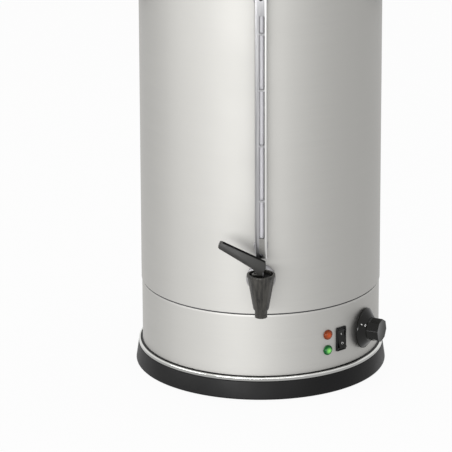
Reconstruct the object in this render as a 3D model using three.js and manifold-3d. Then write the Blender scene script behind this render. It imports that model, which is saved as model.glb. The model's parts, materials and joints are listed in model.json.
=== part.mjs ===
// Hot water urn: a double-walled steel urn with a spring-closed tap, a guarded sight gauge and a thermostat.
// Millimetres, +Z up, tap towards -Y. The origin is on the urn's axis, at the underside of the base cover.

import * as THREE from 'three';
import { mergeVertices } from 'three/addons/utils/BufferGeometryUtils.js';
import Module from 'manifold-3d';

const wasm = await Module();
wasm.setup();

// Fits and cuts
const seat = 0.3; // gap between two pieces that rest on each other
const slip = 0.35; // radial gap round a piece that slides, turns or is pushed in
const overrun = 6; // how far a cut runs past the faces that it opens

// Facets round a circle, and steps along an arc
const drumSides = 48;
const fittingSides = 20;
const smallSides = 12;
const wireSides = 6;
const hexSides = 6;
const arcSteps = 3;
const cornerSteps = 2;
const domeSteps = 5;

// Jacket and lower housing
const drumRadius = 150; // outside of the jacket
const sheet = 1; // steel of the jacket and of the housing
const jacketTop = 525;
const seamHeight = 107; // top of the housing's visible wall
const seamGap = 1.2; // shadow gap under the jacket
const housingInset = 0.8; // the housing is this much narrower than the jacket
const spigotHeight = 11; // joggled part of the housing, inside the jacket

// Base
const baseFlare = 7.6; // how far the base's foot stands out from the jacket
const baseShoulder = 4.3; // how far its upper edge stands out
const baseHeight = 21;
const baseWall = 3;
const baseEdge = 1.2; // round of the lower edge
const shoulderEdge = 0.5; // round of the upper edge
const upstandHeight = 12; // inner collar that locates the housing
const trimWidth = 3.5;
const trimHeight = 5;
const coverInset = 22.3; // from the jacket's line to the cover's edge
const coverSheet = 1.5;
const coverLip = 6; // overlap of the base's floor above the cover
const ventCount = 8;
const ventInset = 35.7; // from the cover's edge to the middle of a vent slot
const ventLength = 30;
const ventWidth = 4;
const footCount = 4;
const footInset = 7; // from the jacket's line to the middle of a foot
const footRadius = 8;
const footHeight = 3;
const footEdge = 1;
const footStem = 3; // radius of the push-in stem
const footBarb = 1; // how far the barb stands out from the stem
const footTip = 3; // height of the barb

// Tank
const airGap = 7; // between the tank and the jacket
const tankSheet = 1;
const tankFloor = 131; // height of the tank's floor, inside
const tankCorner = 4;
const rimRise = 4.2; // crown of the rolled rim above the jacket's edge
const rimDrop = 4; // outer lip of the rim, outside the jacket
const sleeveWall = 2.5; // welded sleeves between the tank and the jacket

// Lid
const lidSheet = 1.2;
const lidRise = 21; // dome above its flange
const lidPlug = 9; // skirt that enters the tank
const lidPlay = 1.2; // radial play of the skirt in the tank
const lidSeatRadius = 16; // flat under the knob
const steamRadius = 2.5; // steam hole
const steamInset = 41; // from the tank's wall to the steam hole's middle
const lidKnobRadius = 19;
const lidKnobNeck = 10;
const lidKnobFoot = 14;
const lidKnobHeight = 32;
const lidCrownStart = 15; // degrees at which the knob's crown starts to curve in
const lidScrewRadius = 2.5;
const lidScrewHead = 5.5;
const lidScrewHeadHeight = 2.4;
const lidScrewDepth = 16; // reach of the screw into the knob

// Handles
const handleDrop = 33; // from the jacket's edge to the grips' middle
const handleHalf = 61; // half the grip's length along the wall
const handleReach = 43; // from the jacket to the grip's outer face
const handleBar = 16; // thickness of the bar and of its arms
const handleDepth = 20; // height of the grip
const handleCorner = 22; // outer corners, in plan
const handleRound = 3; // rounded edges
const strapSheet = 1.5; // inner strap
const strapDepth = 18;
const studRadius = 2.5;
const studReach = 12; // reach of a stud into the grip

// Tap shank
const tapReach = 40.9; // from the jacket to the tap's axis
const shankRise = 24; // shank's axis above the tank's floor
const shankRadius = 8;
const shankBore = 5;
const collarRadius = 18;
const collarThick = 4.2;
const collarRound = 1.4;
const sealWidth = 4; // radial width of the seal
const sealThick = 2.5;
const nutWidth = 5; // a nut's corners stand this far out from its thread
const nutThick = 5;
const shankEnd = 3; // thread that shows past the nut

// Tap body, heights from the tip
const tipDrop = 36; // lower end of the tip, below the shank's axis
const tipLength = 9.8;
const tipRadius = 7.7;
const tipGroove = 0.7; // depth of the groove round the tip
const tipGrooveWidth = 1.6;
const funnelHeight = 43.7; // from the tip to the rim
const funnelFoot = 9.7; // radius at the funnel's lower end
const funnelChamfer = 2.2;
const funnelInset = 0.7; // the chamfer starts this far inside the funnel's lower end
const rimRadius = 17.4;
const rimBand = 3.6; // plain band under the rim
const rimLip = 0.7; // how far the band stands out from the funnel
const rimEdge = 0.7; // round of the rim's upper edge
const rimWall = 2.8;
const bossLength = 7; // shank boss, past the funnel
const bossWall = 2.8;
const socketWall = 1.05; // left between the shank's socket and the chamber
const outletRadius = 4.6;
const outletLength = 15; // from the tip's end to the valve seat
const seatWidth = 3.2; // the seat's cone, radially
const chamberTop = 11.2; // radius of the chamber under the bonnet
const bonnetThick = 4;
const recessDepth = 8.7; // from the rim to the bonnet's seat

// Tap valve
const stemRadius = 3;
const tangHalf = 1.5; // half the thickness of the flattened end
const cupRadius = 6.7;
const cupNose = 4; // radius of the cup's lower face
const cupHeight = 7.5;
const cupGrip = 5; // length of stem held in the cup
const springRadius = 5; // to the middle of the wire
const springWire = 0.65;
const springTurns = 5;
const springSteps = 8; // along one turn
const washerThick = 2.4;
const pinRadius = 1.3;
const pinHeight = 11; // lever pin above the washer, closed

// Tap lever
const leverWidth = 8;
const leverRise = 26; // degrees above level, closed
const leverThrow = 25; // degrees of travel
const leverReach = 56; // from the pin to the end, along the lever
const leverTop = 9.3; // from the pin to the top face
const leverRoot = 5.4; // from the pin to the underside
const leverTip = 8; // thickness at the free end
const leverNose = 5.2; // head in front of the pin
const leverEdge = 0.8; // rounded edges
const heelFront = 1.9; // heel in front of the pin
const heelThrow = 5.8; // lift per radian, and the heel's reach behind the pin
const heelWaist = 7; // heel behind the pin, above the toe

// Sight gauge
const gaugeDrop = 18; // from the jacket's edge to the upper elbow
const guardPlay = 0.45; // between the guard's sides and the elbows
const guardReach = 22.7; // from the jacket to the guard's front
const guardSheet = 0.9;
const guardClear = 14.2; // from the shank's collar to the guard's lower end
const guardMargin = 0.8; // guard beyond the elbows, at each end
const guardCorner = 4;
const slotWidth = 6;
const slotMargin = 6.1; // from an elbow's socket to the slot's end
const bridgeLift = 47.3; // lowest bridge above the slot's lower end
const bridgeCount = 4;
const bridgeHeight = 2.4;
const tubeRadius = 4;
const tubeWall = 1;
const tubeSetback = 2.2; // from the guard's front sheet to the glass
const elbowFlange = 8.75;
const elbowFlangeThick = 4;
const elbowTail = 9.4; // elbow beyond its stem, away from the glass
const elbowSocket = 9.5; // elbow beyond its stem, round the glass
const socketDepth = 6;
const gaugeStem = 5; // radius through the walls
const gaugeBore = 2.6;
const gaugeNutThick = 4;
const tubeSealHeight = 2.2;
const guardScrew = 1.5;
const guardScrewHead = 2.7;
const guardScrewHeadHeight = 1.1;
const guardScrewDepth = 3;
const guardScrewInset = 4.3; // from the guard's end to its screw

// Controls on the housing; angles in degrees to the right of the tap
const lampAngle = 33.5;
const lampHeight = 61.7; // midway between the two lamps
const lampStep = 20.1;
const lampRadius = 6.75;
const lampFlange = 1.6;
const lampBarrel = 4.8;
const lampEdge = 0.8; // round of the bezel's rim
const lampDepth = 16;
const lensRadius = 5.3;
const lensRise = 2.4;
const lensStub = 4;
const switchAngle = 41.4;
const switchHeight = 62.2;
const switchWidth = 15.5;
const switchTall = 30.7;
const switchFlange = 2;
const switchLip = 1.1; // frame beyond the body behind it, each side
const switchWall = 1;
const switchRound = 1; // corners, seen from the front
const switchDepth = 17;
const switchFloor = 1.5;
const rockerTilt = 10; // degrees each way
const rockerProud = 2.2; // middle of the rocker above the frame
const rockerPin = 1.2;
const rockerPinReach = 0.7;
const bladeWidth = 4.8;
const bladeThick = 0.8;
const bladeLength = 8;

// Thermostat
const dialAngle = 58.5;
const dialTurn = 6; // degrees by which it faces further from the tap than the wall behind it
const dialHeight = 64.3;
const dialRadius = 25.3;
const dialThick = 3;
const dialEdge = 0.8; // round of the dial's rim
const dialLift = 1.3; // dial above the housing, at its axis
const dialDish = 1.2; // rise of the dial's face towards the grip
const gripCorner = 14.7; // octagonal grip, to its corners
const gripFoot = 16.2; // its flared foot
const gripFlare = 3; // height of the flare
const gripEnd = 25.7; // from the housing to the grip's end
const gripEdge = 1;
const gripSides = 8;
const bushRadius = 5;
const bushNut = 8.2;
const bushNutThick = 2.6;
const shaftRadius = 3;
const shaftFlat = 2; // from the shaft's axis to its flat
const shaftDepth = 9; // reach of the shaft into the thermostat
const shaftGrip = 11; // reach of the shaft into the knob
const controlWidth = 34;
const controlTall = 30;
const controlDepth = 20;
const controlRound = 3;

// Heater
const plateRadius = 102;
const plateThick = 4;
const elementCircle = 80;
const elementRadius = 4.2;
const elementGap = 36; // degrees left open between its ends
const elementTail = 16; // length of its two bent ends
const elementEnd = 3.8; // radius of its bent ends
const clampWidth = 22;
const clampThick = 2.5;
const heaterStud = 3;
const clampNutRadius = 7;
const clampNutThick = 5;
const limiterRadius = 11;
const limiterHeight = 9;
const limiterFlange = 14;
const limiterFlangeThick = 1.5;
const limiterOffset = 48; // from the axis
const bulbRadius = 3;
const bulbLength = 56;
const bulbOffset = 34; // from the axis
const capillaryRadius = 1.1;
const capillaryBend = 58; // how gently the capillary turns
const capillarySteps = 16;

// Mains entry
const glandHeight = 46;
const glandBore = 4;
const glandThread = 8;
const glandFlange = 12.5;
const glandFlangeThick = 4;
const glandTail = 12; // thread inside the housing
const glandNeck = 8; // thread outside the flange
const glandNutWall = 3;
const glandNutLength = 13;
const blockWidth = 42;
const blockDepth = 15;
const blockHeight = 14;
const blockWays = 3;
const blockWell = 3.2; // radius of a terminal's well
const blockWellDepth = 7;
const blockInset = 16; // from the jacket's line to the block's middle

// Sizes that follow from those above
const jacketInner = drumRadius - sheet;
const jacketFoot = seamHeight + seamGap;
const housingRadius = drumRadius - housingInset;
const housingInner = housingRadius - sheet;
const tankOuter = jacketInner - airGap;
const tankInner = tankOuter - tankSheet;
const tankUnder = tankFloor - tankSheet;
const archFoot = jacketTop + seat;
const rimTop = archFoot + rimRise;
const coverRadius = drumRadius - coverInset;
const coverRebate = coverSheet + seat;
const ventCircle = coverRadius - ventInset;
const footCircle = drumRadius - footInset;
const baseFloor = coverRebate + baseWall;
const lidFoot = rimTop + seat;
const lidTop = lidFoot + lidSheet + lidRise;
const steamOffset = tankInner - steamInset;
const handleHeight = jacketTop - handleDrop;
const shankHeight = tankFloor + shankRise;
const tipHeight = shankHeight - tipDrop;
const tapDistance = drumRadius + tapReach;
const rimHeight = tipHeight + funnelHeight + tipLength;
const bonnetSeat = rimHeight - recessDepth;
const bonnetTop = bonnetSeat + seat + bonnetThick;
const washerTop = bonnetTop + seat + washerThick;
const leverAxis = washerTop + pinHeight;
const valveSeat = tipHeight + outletLength;
const guardFoot = shankHeight + collarRadius + guardClear;
const gaugeFoot = guardFoot + guardMargin + elbowTail;
const gaugeHead = jacketTop - gaugeDrop;
const guardTop = gaugeHead + elbowTail + guardMargin;
const slotFoot = gaugeFoot + elbowSocket + slotMargin;
const slotTop = gaugeHead - elbowSocket - slotMargin;
const bridgeStep = (slotTop - slotFoot) / bridgeCount;
const guardFront = drumRadius + guardReach;
const tubeDistance = guardFront - guardSheet - tubeSetback - tubeRadius;
const plateUnder = tankUnder - seat - plateThick;
const clampTop = plateUnder - seat - 2 * elementRadius - seat;
const blockOffset = drumRadius - blockInset;
const dialLean = Math.sin(THREE.MathUtils.degToRad(dialTurn));
const elbowRadius = tubeSetback + tubeRadius - seat;
const guardHalf = elbowRadius + guardPlay + guardSheet;
const gaugeInnerEnd = tankInner - seat - sealThick - seat - gaugeNutThick - shankEnd;

// Geometry: every function returns a closed BufferGeometry
function arc(middle, height, across, rise, from, to, steps) {
  const points = [];
  for (let step = 0; step <= steps; step += 1) {
    const angle = THREE.MathUtils.degToRad(from + (to - from) * step / steps);
    points.push([middle + across * Math.cos(angle), height + rise * Math.sin(angle)]);
  }
  return points;
}

function turned(points, sides) {
  const profile = points.map(([radius, height]) => new THREE.Vector2(radius, height));
  return new THREE.LatheGeometry(profile, sides).rotateX(Math.PI / 2);
}

function ring(points, sides) {
  return turned([...points, points[0]], sides);
}

function rod(radius, from, to, sides) {
  return turned([[0, from], [radius, from], [radius, to], [0, to]], sides);
}

function pipe(inner, outer, from, to, sides) {
  return ring([[inner, from], [outer, from], [outer, to], [inner, to]], sides);
}

function outline(points) {
  return new THREE.Shape(points.map(([x, y]) => new THREE.Vector2(x, y)));
}

function roundedBox(width, height, corner) {
  const x = width / 2 - corner;
  const y = height / 2 - corner;
  return outline([
    ...arc(x, y, corner, corner, 0, 90, cornerSteps),
    ...arc(-x, y, corner, corner, 90, 180, cornerSteps),
    ...arc(-x, -y, corner, corner, 180, 270, cornerSteps),
    ...arc(x, -y, corner, corner, 270, 360, cornerSteps),
  ]);
}

function extruded(shape, from, to) {
  const geometry = new THREE.ExtrudeGeometry(shape, { depth: to - from, bevelEnabled: false });
  return geometry.translate(0, 0, from);
}

function softened(shape, from, to, round) {
  const geometry = new THREE.ExtrudeGeometry(shape, {
    depth: to - from - 2 * round,
    bevelThickness: round,
    bevelSize: round,
    bevelOffset: -round,
    bevelSegments: 2,
  });
  return geometry.translate(0, 0, from + round);
}

function block(width, height, from, to) {
  return new THREE.BoxGeometry(width, height, to - from).translate(0, 0, (from + to) / 2);
}

function swept(curve, radius, sides, steps) {
  const section = outline(arc(0, 0, radius, radius, 0, 360, sides).slice(0, sides));
  return new THREE.ExtrudeGeometry(section, { steps, extrudePath: curve, bevelEnabled: false });
}

// Solids: closed meshes that can be joined and cut
function solid(geometry) {
  const bare = geometry.clone();
  bare.deleteAttribute('normal');
  bare.deleteAttribute('uv');
  const merged = mergeVertices(bare);
  const points = merged.getAttribute('position').array;
  const faces = [];
  let volume = 0;
  for (let index = 0; index < merged.index.count; index += 3) {
    const [a, b, c] = merged.index.array.slice(index, index + 3);
    if (a === b || b === c || c === a) continue;
    faces.push(a, b, c);
    const [u, v, w] = [a, b, c].map((corner) => new THREE.Vector3().fromArray(points, 3 * corner));
    volume += u.dot(v.cross(w));
  }
  if (volume < 0) faces.reverse();
  const mesh = new wasm.Mesh({ numProp: 3, vertProperties: points, triVerts: Uint32Array.from(faces) });
  return new wasm.Manifold(mesh);
}

function join(first, ...others) {
  return others.reduce((whole, other) => whole.add(other), first);
}

function cut(first, ...tools) {
  return tools.reduce((whole, tool) => whole.subtract(tool), first);
}

// Frames: pieces on the wall are made with x along it, y up and z out from the urn's axis
const urn = new THREE.Group();
urn.name = 'hot_water_urn';

function wallFrame(angle, height) {
  const frame = new THREE.Group();
  frame.rotation.set(Math.PI / 2, 0, THREE.MathUtils.degToRad(angle), 'ZXY');
  frame.position.set(0, 0, height);
  frame.updateMatrixWorld();
  urn.add(frame);
  return frame;
}

// Turned about the spot where its z axis passes through the housing
function askewFrame(angle, height, turn) {
  const square = wallFrame(angle, height);
  const frame = wallFrame(angle + turn, height);
  const spot = new THREE.Vector3(0, 0, housingRadius).applyMatrix4(square.matrixWorld);
  const turned = new THREE.Vector3(0, 0, housingRadius).applyMatrix4(frame.matrixWorld);
  frame.position.add(spot.sub(turned));
  frame.updateMatrixWorld();
  urn.remove(square);
  return frame;
}

function uprightFrame(x, y, height) {
  const frame = new THREE.Group();
  frame.position.set(x, y, height);
  frame.updateMatrixWorld();
  urn.add(frame);
  return frame;
}

function seenFrom(target, source, geometry) {
  const matrix = target.matrixWorld.clone().invert().multiply(source.matrixWorld);
  return solid(geometry.clone().applyMatrix4(matrix));
}

function drum(frame, radius) {
  return seenFrom(frame, urn, rod(radius, -drumRadius, jacketTop + drumRadius, drumSides));
}

// Finishes
function finish(color, roughness, metalness) {
  return new THREE.MeshStandardMaterial({ color, roughness, metalness });
}

const brushedSteel = () => finish(0xcfcfcb, 0.36, 1);
const plainSteel = () => finish(0xb4b4b0, 0.5, 1);
const chrome = () => finish(0xdedede, 0.12, 1);
const springSteel = () => finish(0x9a9a98, 0.3, 1);
const aluminium = () => finish(0xc2c4c6, 0.45, 1);
const blackPlastic = () => finish(0x1c1c1d, 0.5, 0);
const glossBlack = () => finish(0x121213, 0.2, 0);
const silicone = () => finish(0xe4e2dc, 0.7, 0);
const rubber = () => finish(0x26262a, 0.85, 0);
const ceramic = () => finish(0xe9e4d8, 0.6, 0);

function glass() {
  const material = finish(0xe6efec, 0.05, 0);
  material.transparent = true;
  material.opacity = 0.35;
  return material;
}

function place(name, shape, material, frame = urn) {
  const { vertProperties, triVerts } = shape.getMesh();
  const geometry = new THREE.BufferGeometry();
  geometry.setAttribute('position', new THREE.BufferAttribute(Float32Array.from(vertProperties), 3));
  geometry.setIndex(new THREE.BufferAttribute(Uint32Array.from(triVerts), 1));
  geometry.computeVertexNormals();
  const mesh = new THREE.Mesh(geometry, material);
  mesh.name = name;
  frame.add(mesh);
}

// Frames of the groups of pieces
const shankFrame = wallFrame(0, shankHeight);
const lowerGauge = wallFrame(0, gaugeFoot);
const upperGauge = wallFrame(0, gaugeHead);
const guardFrame = wallFrame(0, 0);
const tapFrame = uprightFrame(0, -tapDistance, 0);
const tubeFrame = uprightFrame(0, -tubeDistance, 0);
const rightHandle = wallFrame(90, handleHeight);
const leftHandle = wallFrame(-90, handleHeight);
const heatingLamp = wallFrame(lampAngle, lampHeight + lampStep / 2);
const readyLamp = wallFrame(lampAngle, lampHeight - lampStep / 2);
const switchFrame = wallFrame(switchAngle, switchHeight);
const dialFrame = askewFrame(dialAngle, dialHeight, dialTurn);
const glandFrame = wallFrame(180, glandHeight);
const gauges = [lowerGauge, upperGauge];
const handles = [rightHandle, leftHandle];
const studOffset = handleHalf - handleBar / 2;

function spotsOnCircle(count, radius, start) {
  return Array.from({ length: count }, (_, index) => {
    const angle = THREE.MathUtils.degToRad(start + 360 * index / count);
    return [radius * Math.cos(angle), radius * Math.sin(angle)];
  });
}

const feet = spotsOnCircle(footCount, footCircle, 360 / footCount / 2);

// Base ring, its cover, feet and trim
function makeBaseRing() {
  const outer = drumRadius + baseFlare;
  const shoulder = drumRadius + baseShoulder;
  const upstand = housingInner - slip;
  const ledge = baseHeight - baseWall;
  const body = solid(ring([
    [coverRadius + slip, 0],
    [outer - baseEdge, 0],
    [outer, baseEdge],
    [shoulder, baseHeight - shoulderEdge],
    [shoulder - shoulderEdge, baseHeight],
    [upstand, baseHeight],
    [upstand, baseHeight + upstandHeight],
    [upstand - baseWall, baseHeight + upstandHeight],
    [upstand - baseWall, ledge],
    [shoulder - baseWall, ledge],
    [outer - baseWall, baseFloor],
    [coverRadius - coverLip, baseFloor],
    [coverRadius - coverLip, coverRebate],
    [coverRadius + slip, coverRebate],
  ], drumSides));
  const holes = feet.map(([x, y]) => (
    solid(rod(footStem + slip, -overrun, baseFloor + overrun, smallSides).translate(x, y, 0))));
  return cut(body, ...holes);
}

function makeBaseCover() {
  const disc = solid(rod(coverRadius, 0, coverSheet, drumSides));
  const slot = extruded(roundedBox(ventLength, ventWidth, ventWidth / 2), -overrun, coverSheet + overrun);
  const vents = spotsOnCircle(ventCount, ventCircle, 0).map(([x, y]) => (
    solid(slot.clone().rotateZ(Math.atan2(y, x)).translate(x, y, 0))));
  return cut(disc, ...vents);
}

function makeFoot() {
  return solid(turned([
    [0, -footHeight],
    [footRadius - footEdge, -footHeight],
    [footRadius, -seat],
    [footStem, -seat],
    [footStem, baseFloor + seat],
    [footStem + footBarb, baseFloor + seat],
    [footStem, baseFloor + seat + footTip],
    [0, baseFloor + seat + footTip],
  ], smallSides));
}

function makeTrim() {
  const outer = drumRadius + baseShoulder - seat;
  const foot = baseHeight + seat;
  const round = trimWidth / 2;
  return solid(ring([
    [outer - trimWidth, foot],
    [outer, foot],
    ...arc(outer - round, foot + trimHeight - round, round, round, 0, 180, arcSteps),
  ], drumSides));
}

place('base_ring', makeBaseRing(), blackPlastic());
place('base_cover', makeBaseCover(), plainSteel());
feet.forEach(([x, y], index) => {
  place(`foot_${index + 1}`, makeFoot(), rubber(), uprightFrame(x, y, 0));
});
place('trim_ring', makeTrim(), chrome());

// Lower housing, with the openings for the controls
function makeHousing() {
  const spigot = jacketInner - slip;
  const body = solid(ring([
    [housingInner, baseHeight + seat],
    [housingRadius, baseHeight + seat],
    [housingRadius, seamHeight - sheet],
    [spigot, seamHeight],
    [spigot, seamHeight + spigotHeight],
    [spigot - sheet, seamHeight + spigotHeight],
    [spigot - sheet, seamHeight - sheet],
    [housingInner, seamHeight - 2 * sheet],
  ], drumSides));
  const from = housingInner - overrun;
  const to = housingRadius + overrun;
  const lampHole = rod(lampBarrel + slip, from, to, smallSides);
  const switchHole = extruded(roundedBox(
    switchWidth - 2 * switchLip + 2 * slip, switchTall - 2 * switchLip + 2 * slip, switchRound), from, to);
  return cut(
    body,
    seenFrom(urn, heatingLamp, lampHole),
    seenFrom(urn, readyLamp, lampHole),
    seenFrom(urn, switchFrame, switchHole),
    seenFrom(urn, dialFrame, rod(bushRadius + slip, from, to, smallSides)),
    seenFrom(urn, glandFrame, rod(glandThread + slip, from, to, fittingSides)),
  );
}

place('base_shell', makeHousing(), brushedSteel());

// Jacket and tank
function makeJacket() {
  const body = solid(pipe(jacketInner, drumRadius, jacketFoot, jacketTop, drumSides));
  const from = jacketInner - overrun;
  const to = drumRadius + overrun;
  const stemHole = rod(gaugeStem + slip, from, to, smallSides);
  const studHole = rod(studRadius + slip, 0, to, smallSides);
  const tools = [seenFrom(urn, shankFrame, rod(shankRadius + slip, from, to, fittingSides))];
  gauges.forEach((frame) => tools.push(seenFrom(urn, frame, stemHole)));
  handles.forEach((frame) => {
    tools.push(seenFrom(urn, frame, studHole.clone().translate(studOffset, 0, 0)));
    tools.push(seenFrom(urn, frame, studHole.clone().translate(-studOffset, 0, 0)));
  });
  return cut(body, ...tools);
}

function makeTank() {
  const lip = drumRadius + slip;
  const innerCorner = tankCorner - tankSheet;
  const outerArch = (lip + tankSheet - tankInner) / 2;
  const innerArch = (lip - tankOuter) / 2;
  const vessel = solid(turned([
    [0, tankUnder],
    ...arc(tankOuter - tankCorner, tankUnder + tankCorner, tankCorner, tankCorner, -90, 0, cornerSteps),
    ...arc(tankOuter + innerArch, archFoot, innerArch, rimRise - tankSheet, 180, 0, arcSteps),
    [lip, archFoot - rimDrop],
    [lip + tankSheet, archFoot - rimDrop],
    ...arc(tankInner + outerArch, archFoot, outerArch, rimRise, 0, 180, arcSteps + 1),
    ...arc(tankInner - innerCorner, tankFloor + innerCorner, innerCorner, innerCorner, 0, -90, cornerSteps),
    [0, tankFloor],
  ], drumSides));
  const sleeves = [[shankFrame, shankRadius], ...gauges.map((frame) => [frame, gaugeStem])];
  const inside = drum(urn, tankInner + tankSheet / 2);
  const outside = drum(urn, jacketInner - seat);
  const shaped = sleeves.map(([frame, radius]) => {
    const outer = radius + slip + sleeveWall;
    const sleeve = seenFrom(urn, frame, rod(outer, tankInner - overrun, drumRadius, smallSides));
    return sleeve.intersect(outside).subtract(inside);
  });
  const bores = sleeves.map(([frame, radius]) => (
    seenFrom(urn, frame, rod(radius + slip, tankInner - overrun, drumRadius + overrun, smallSides))));
  const studFoot = clampTop - clampThick - clampNutThick - shankEnd;
  const stud = solid(rod(heaterStud, studFoot, tankUnder + tankSheet / 2, smallSides));
  return cut(join(vessel, stud, ...shaped), ...bores);
}

place('jacket', makeJacket(), brushedSteel());
place('tank', makeTank(), plainSteel());

// Lid
function makeLid() {
  const plug = tankInner - lidPlay;
  const dome = (foot, base, shift) => Array.from({ length: domeSteps + 1 }, (_, step) => {
    const share = step / domeSteps;
    return [
      lidSeatRadius + (foot - lidSeatRadius) * share,
      lidTop - shift - (lidTop - shift - base) * share * share,
    ];
  });
  const shell = solid(ring([
    [lidScrewRadius + slip, lidTop],
    ...dome(plug - 2 * lidSheet, lidFoot + lidSheet, 0),
    [drumRadius - sheet, lidFoot + lidSheet],
    [drumRadius - sheet, lidFoot],
    [plug, lidFoot],
    [plug, lidFoot - lidPlug],
    [plug - lidSheet, lidFoot - lidPlug],
    ...dome(plug - lidSheet, lidFoot, lidSheet).reverse(),
    [lidScrewRadius + slip, lidTop - lidSheet],
  ], drumSides));
  const vent = rod(steamRadius, lidFoot, lidTop + overrun, smallSides).translate(0, steamOffset, 0);
  return cut(shell, solid(vent));
}

function makeLidKnob() {
  const foot = lidTop + seat;
  const head = foot + lidKnobHeight;
  const crown = lidKnobHeight / 4;
  const body = solid(turned([
    [0, foot],
    [lidKnobFoot, foot],
    [lidKnobFoot, foot + lidKnobFoot - lidKnobNeck],
    [lidKnobNeck, foot + 2 * (lidKnobFoot - lidKnobNeck)],
    [lidKnobNeck, head - 2 * crown],
    [lidKnobRadius, head - crown],
    ...arc(0, head - crown, lidKnobRadius, crown, lidCrownStart, 90, arcSteps),
  ], fittingSides));
  const hole = rod(lidScrewRadius + slip, foot - overrun, foot + lidScrewDepth + seat, smallSides);
  return cut(body, solid(hole));
}

function makeLidScrew() {
  const head = lidTop - lidSheet - seat;
  return solid(turned([
    [0, head - lidScrewHeadHeight],
    [lidScrewHead, head - lidScrewHeadHeight],
    [lidScrewHead, head],
    [lidScrewRadius, head],
    [lidScrewRadius, lidTop + seat + lidScrewDepth],
    [0, lidTop + seat + lidScrewDepth],
  ], smallSides));
}

place('lid_dome', makeLid(), brushedSteel());
place('lid_knob', makeLidKnob(), blackPlastic());
place('lid_knob_screw', makeLidScrew(), plainSteel());

// Handles, and the straps inside the jacket whose studs hold them
function studEnd() {
  return Math.sqrt(drumRadius ** 2 - studOffset ** 2) + studReach;
}

function makeHandle(frame) {
  const outer = drumRadius + handleReach;
  const inner = outer - handleBar;
  const innerHalf = handleHalf - handleBar;
  const innerCorner = Math.max(handleCorner - handleBar, handleRound) + handleRound;
  const plan = outline([
    [-handleHalf, 0],
    ...arc(-handleHalf + handleCorner, outer - handleCorner, handleCorner, handleCorner, 180, 90, arcSteps),
    ...arc(handleHalf - handleCorner, outer - handleCorner, handleCorner, handleCorner, 90, 0, arcSteps),
    [handleHalf, 0],
    [innerHalf, 0],
    ...arc(innerHalf - innerCorner, inner - innerCorner, innerCorner, innerCorner, 0, 90, arcSteps),
    ...arc(-innerHalf + innerCorner, inner - innerCorner, innerCorner, innerCorner, 90, 180, arcSteps),
    [-innerHalf, 0],
  ]);
  const bar = softened(plan, -handleDepth / 2, handleDepth / 2, handleRound).rotateX(Math.PI / 2);
  const hole = rod(studRadius + slip, 0, studEnd() + seat, smallSides);
  return cut(
    solid(bar),
    drum(frame, drumRadius + seat),
    solid(hole.clone().translate(studOffset, 0, 0)),
    solid(hole.clone().translate(-studOffset, 0, 0)),
  );
}

function makeStrap(frame) {
  const outer = jacketInner - seat;
  const middle = outer - strapSheet / 2;
  const reach = Math.sqrt(middle ** 2 - studOffset ** 2);
  const stud = rod(studRadius, reach, studEnd(), smallSides);
  const shell = drum(frame, outer).subtract(drum(frame, outer - strapSheet));
  const window = solid(block(2 * handleHalf, strapDepth, 0, drumRadius));
  return join(
    shell.intersect(window),
    solid(stud.clone().translate(studOffset, 0, 0)),
    solid(stud.clone().translate(-studOffset, 0, 0)),
  );
}

place('handle_right', makeHandle(rightHandle), blackPlastic(), rightHandle);
place('handle_left', makeHandle(leftHandle), blackPlastic(), leftHandle);
place('handle_bracket_right', makeStrap(rightHandle), plainSteel(), rightHandle);
place('handle_bracket_left', makeStrap(leftHandle), plainSteel(), leftHandle);

// Tap shank: a pipe through both walls, clamped by a nut and a seal inside the tank
const funnelTop = rimHeight - rimBand;
const funnelBottom = tipHeight + tipLength + funnelChamfer;
const recessRadius = rimRadius - rimWall;
const chamberFoot = outletRadius + seatWidth;

function chamberRadius(height) {
  const share = (height - valveSeat - seatWidth) / (bonnetSeat - valveSeat - seatWidth);
  return chamberFoot + (chamberTop - chamberFoot) * share;
}

function funnelRadius(height) {
  const share = (height - funnelBottom) / (funnelTop - funnelBottom);
  return funnelFoot + (rimRadius - rimLip - funnelFoot) * share;
}

const socketEnd = tapDistance - chamberRadius(shankHeight) - socketWall;
const shankInnerEnd = tankInner - seat - sealThick - seat - nutThick - shankEnd;

function hexNut(thread, width, from, to) {
  return solid(rod(thread + width, from, to, hexSides)).subtract(
    solid(rod(thread + slip, from - overrun, to + overrun, smallSides)));
}

function wallSeal(frame, thread) {
  const ringOfRubber = pipe(thread + slip, thread + slip + sealWidth, 0, tankInner, smallSides);
  const back = tankInner - seat - sealThick;
  const front = solid(block(tankInner, tankInner, back - tankInner, back));
  return solid(ringOfRubber).intersect(drum(frame, tankInner - seat)).subtract(front);
}

function makeCollar() {
  const front = drumRadius + collarThick;
  const disc = solid(turned([
    [0, jacketInner - overrun],
    [collarRadius, jacketInner - overrun],
    [collarRadius, front - collarRound],
    [collarRadius - collarRound, front],
    [0, front],
  ], fittingSides));
  const bore = rod(shankRadius + slip, jacketInner - 2 * overrun, front + overrun, fittingSides);
  return cut(disc, drum(shankFrame, drumRadius + seat), solid(bore));
}

place('tap_shank', solid(pipe(shankBore, shankRadius, shankInnerEnd, socketEnd - seat, fittingSides)),
  chrome(), shankFrame);
place('shank_collar', makeCollar(), chrome(), shankFrame);
place('shank_seal', wallSeal(shankFrame, shankRadius), silicone(), shankFrame);
place('shank_nut', hexNut(shankRadius, nutWidth, shankInnerEnd + shankEnd,
  shankInnerEnd + shankEnd + nutThick), plainSteel(), shankFrame);

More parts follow.
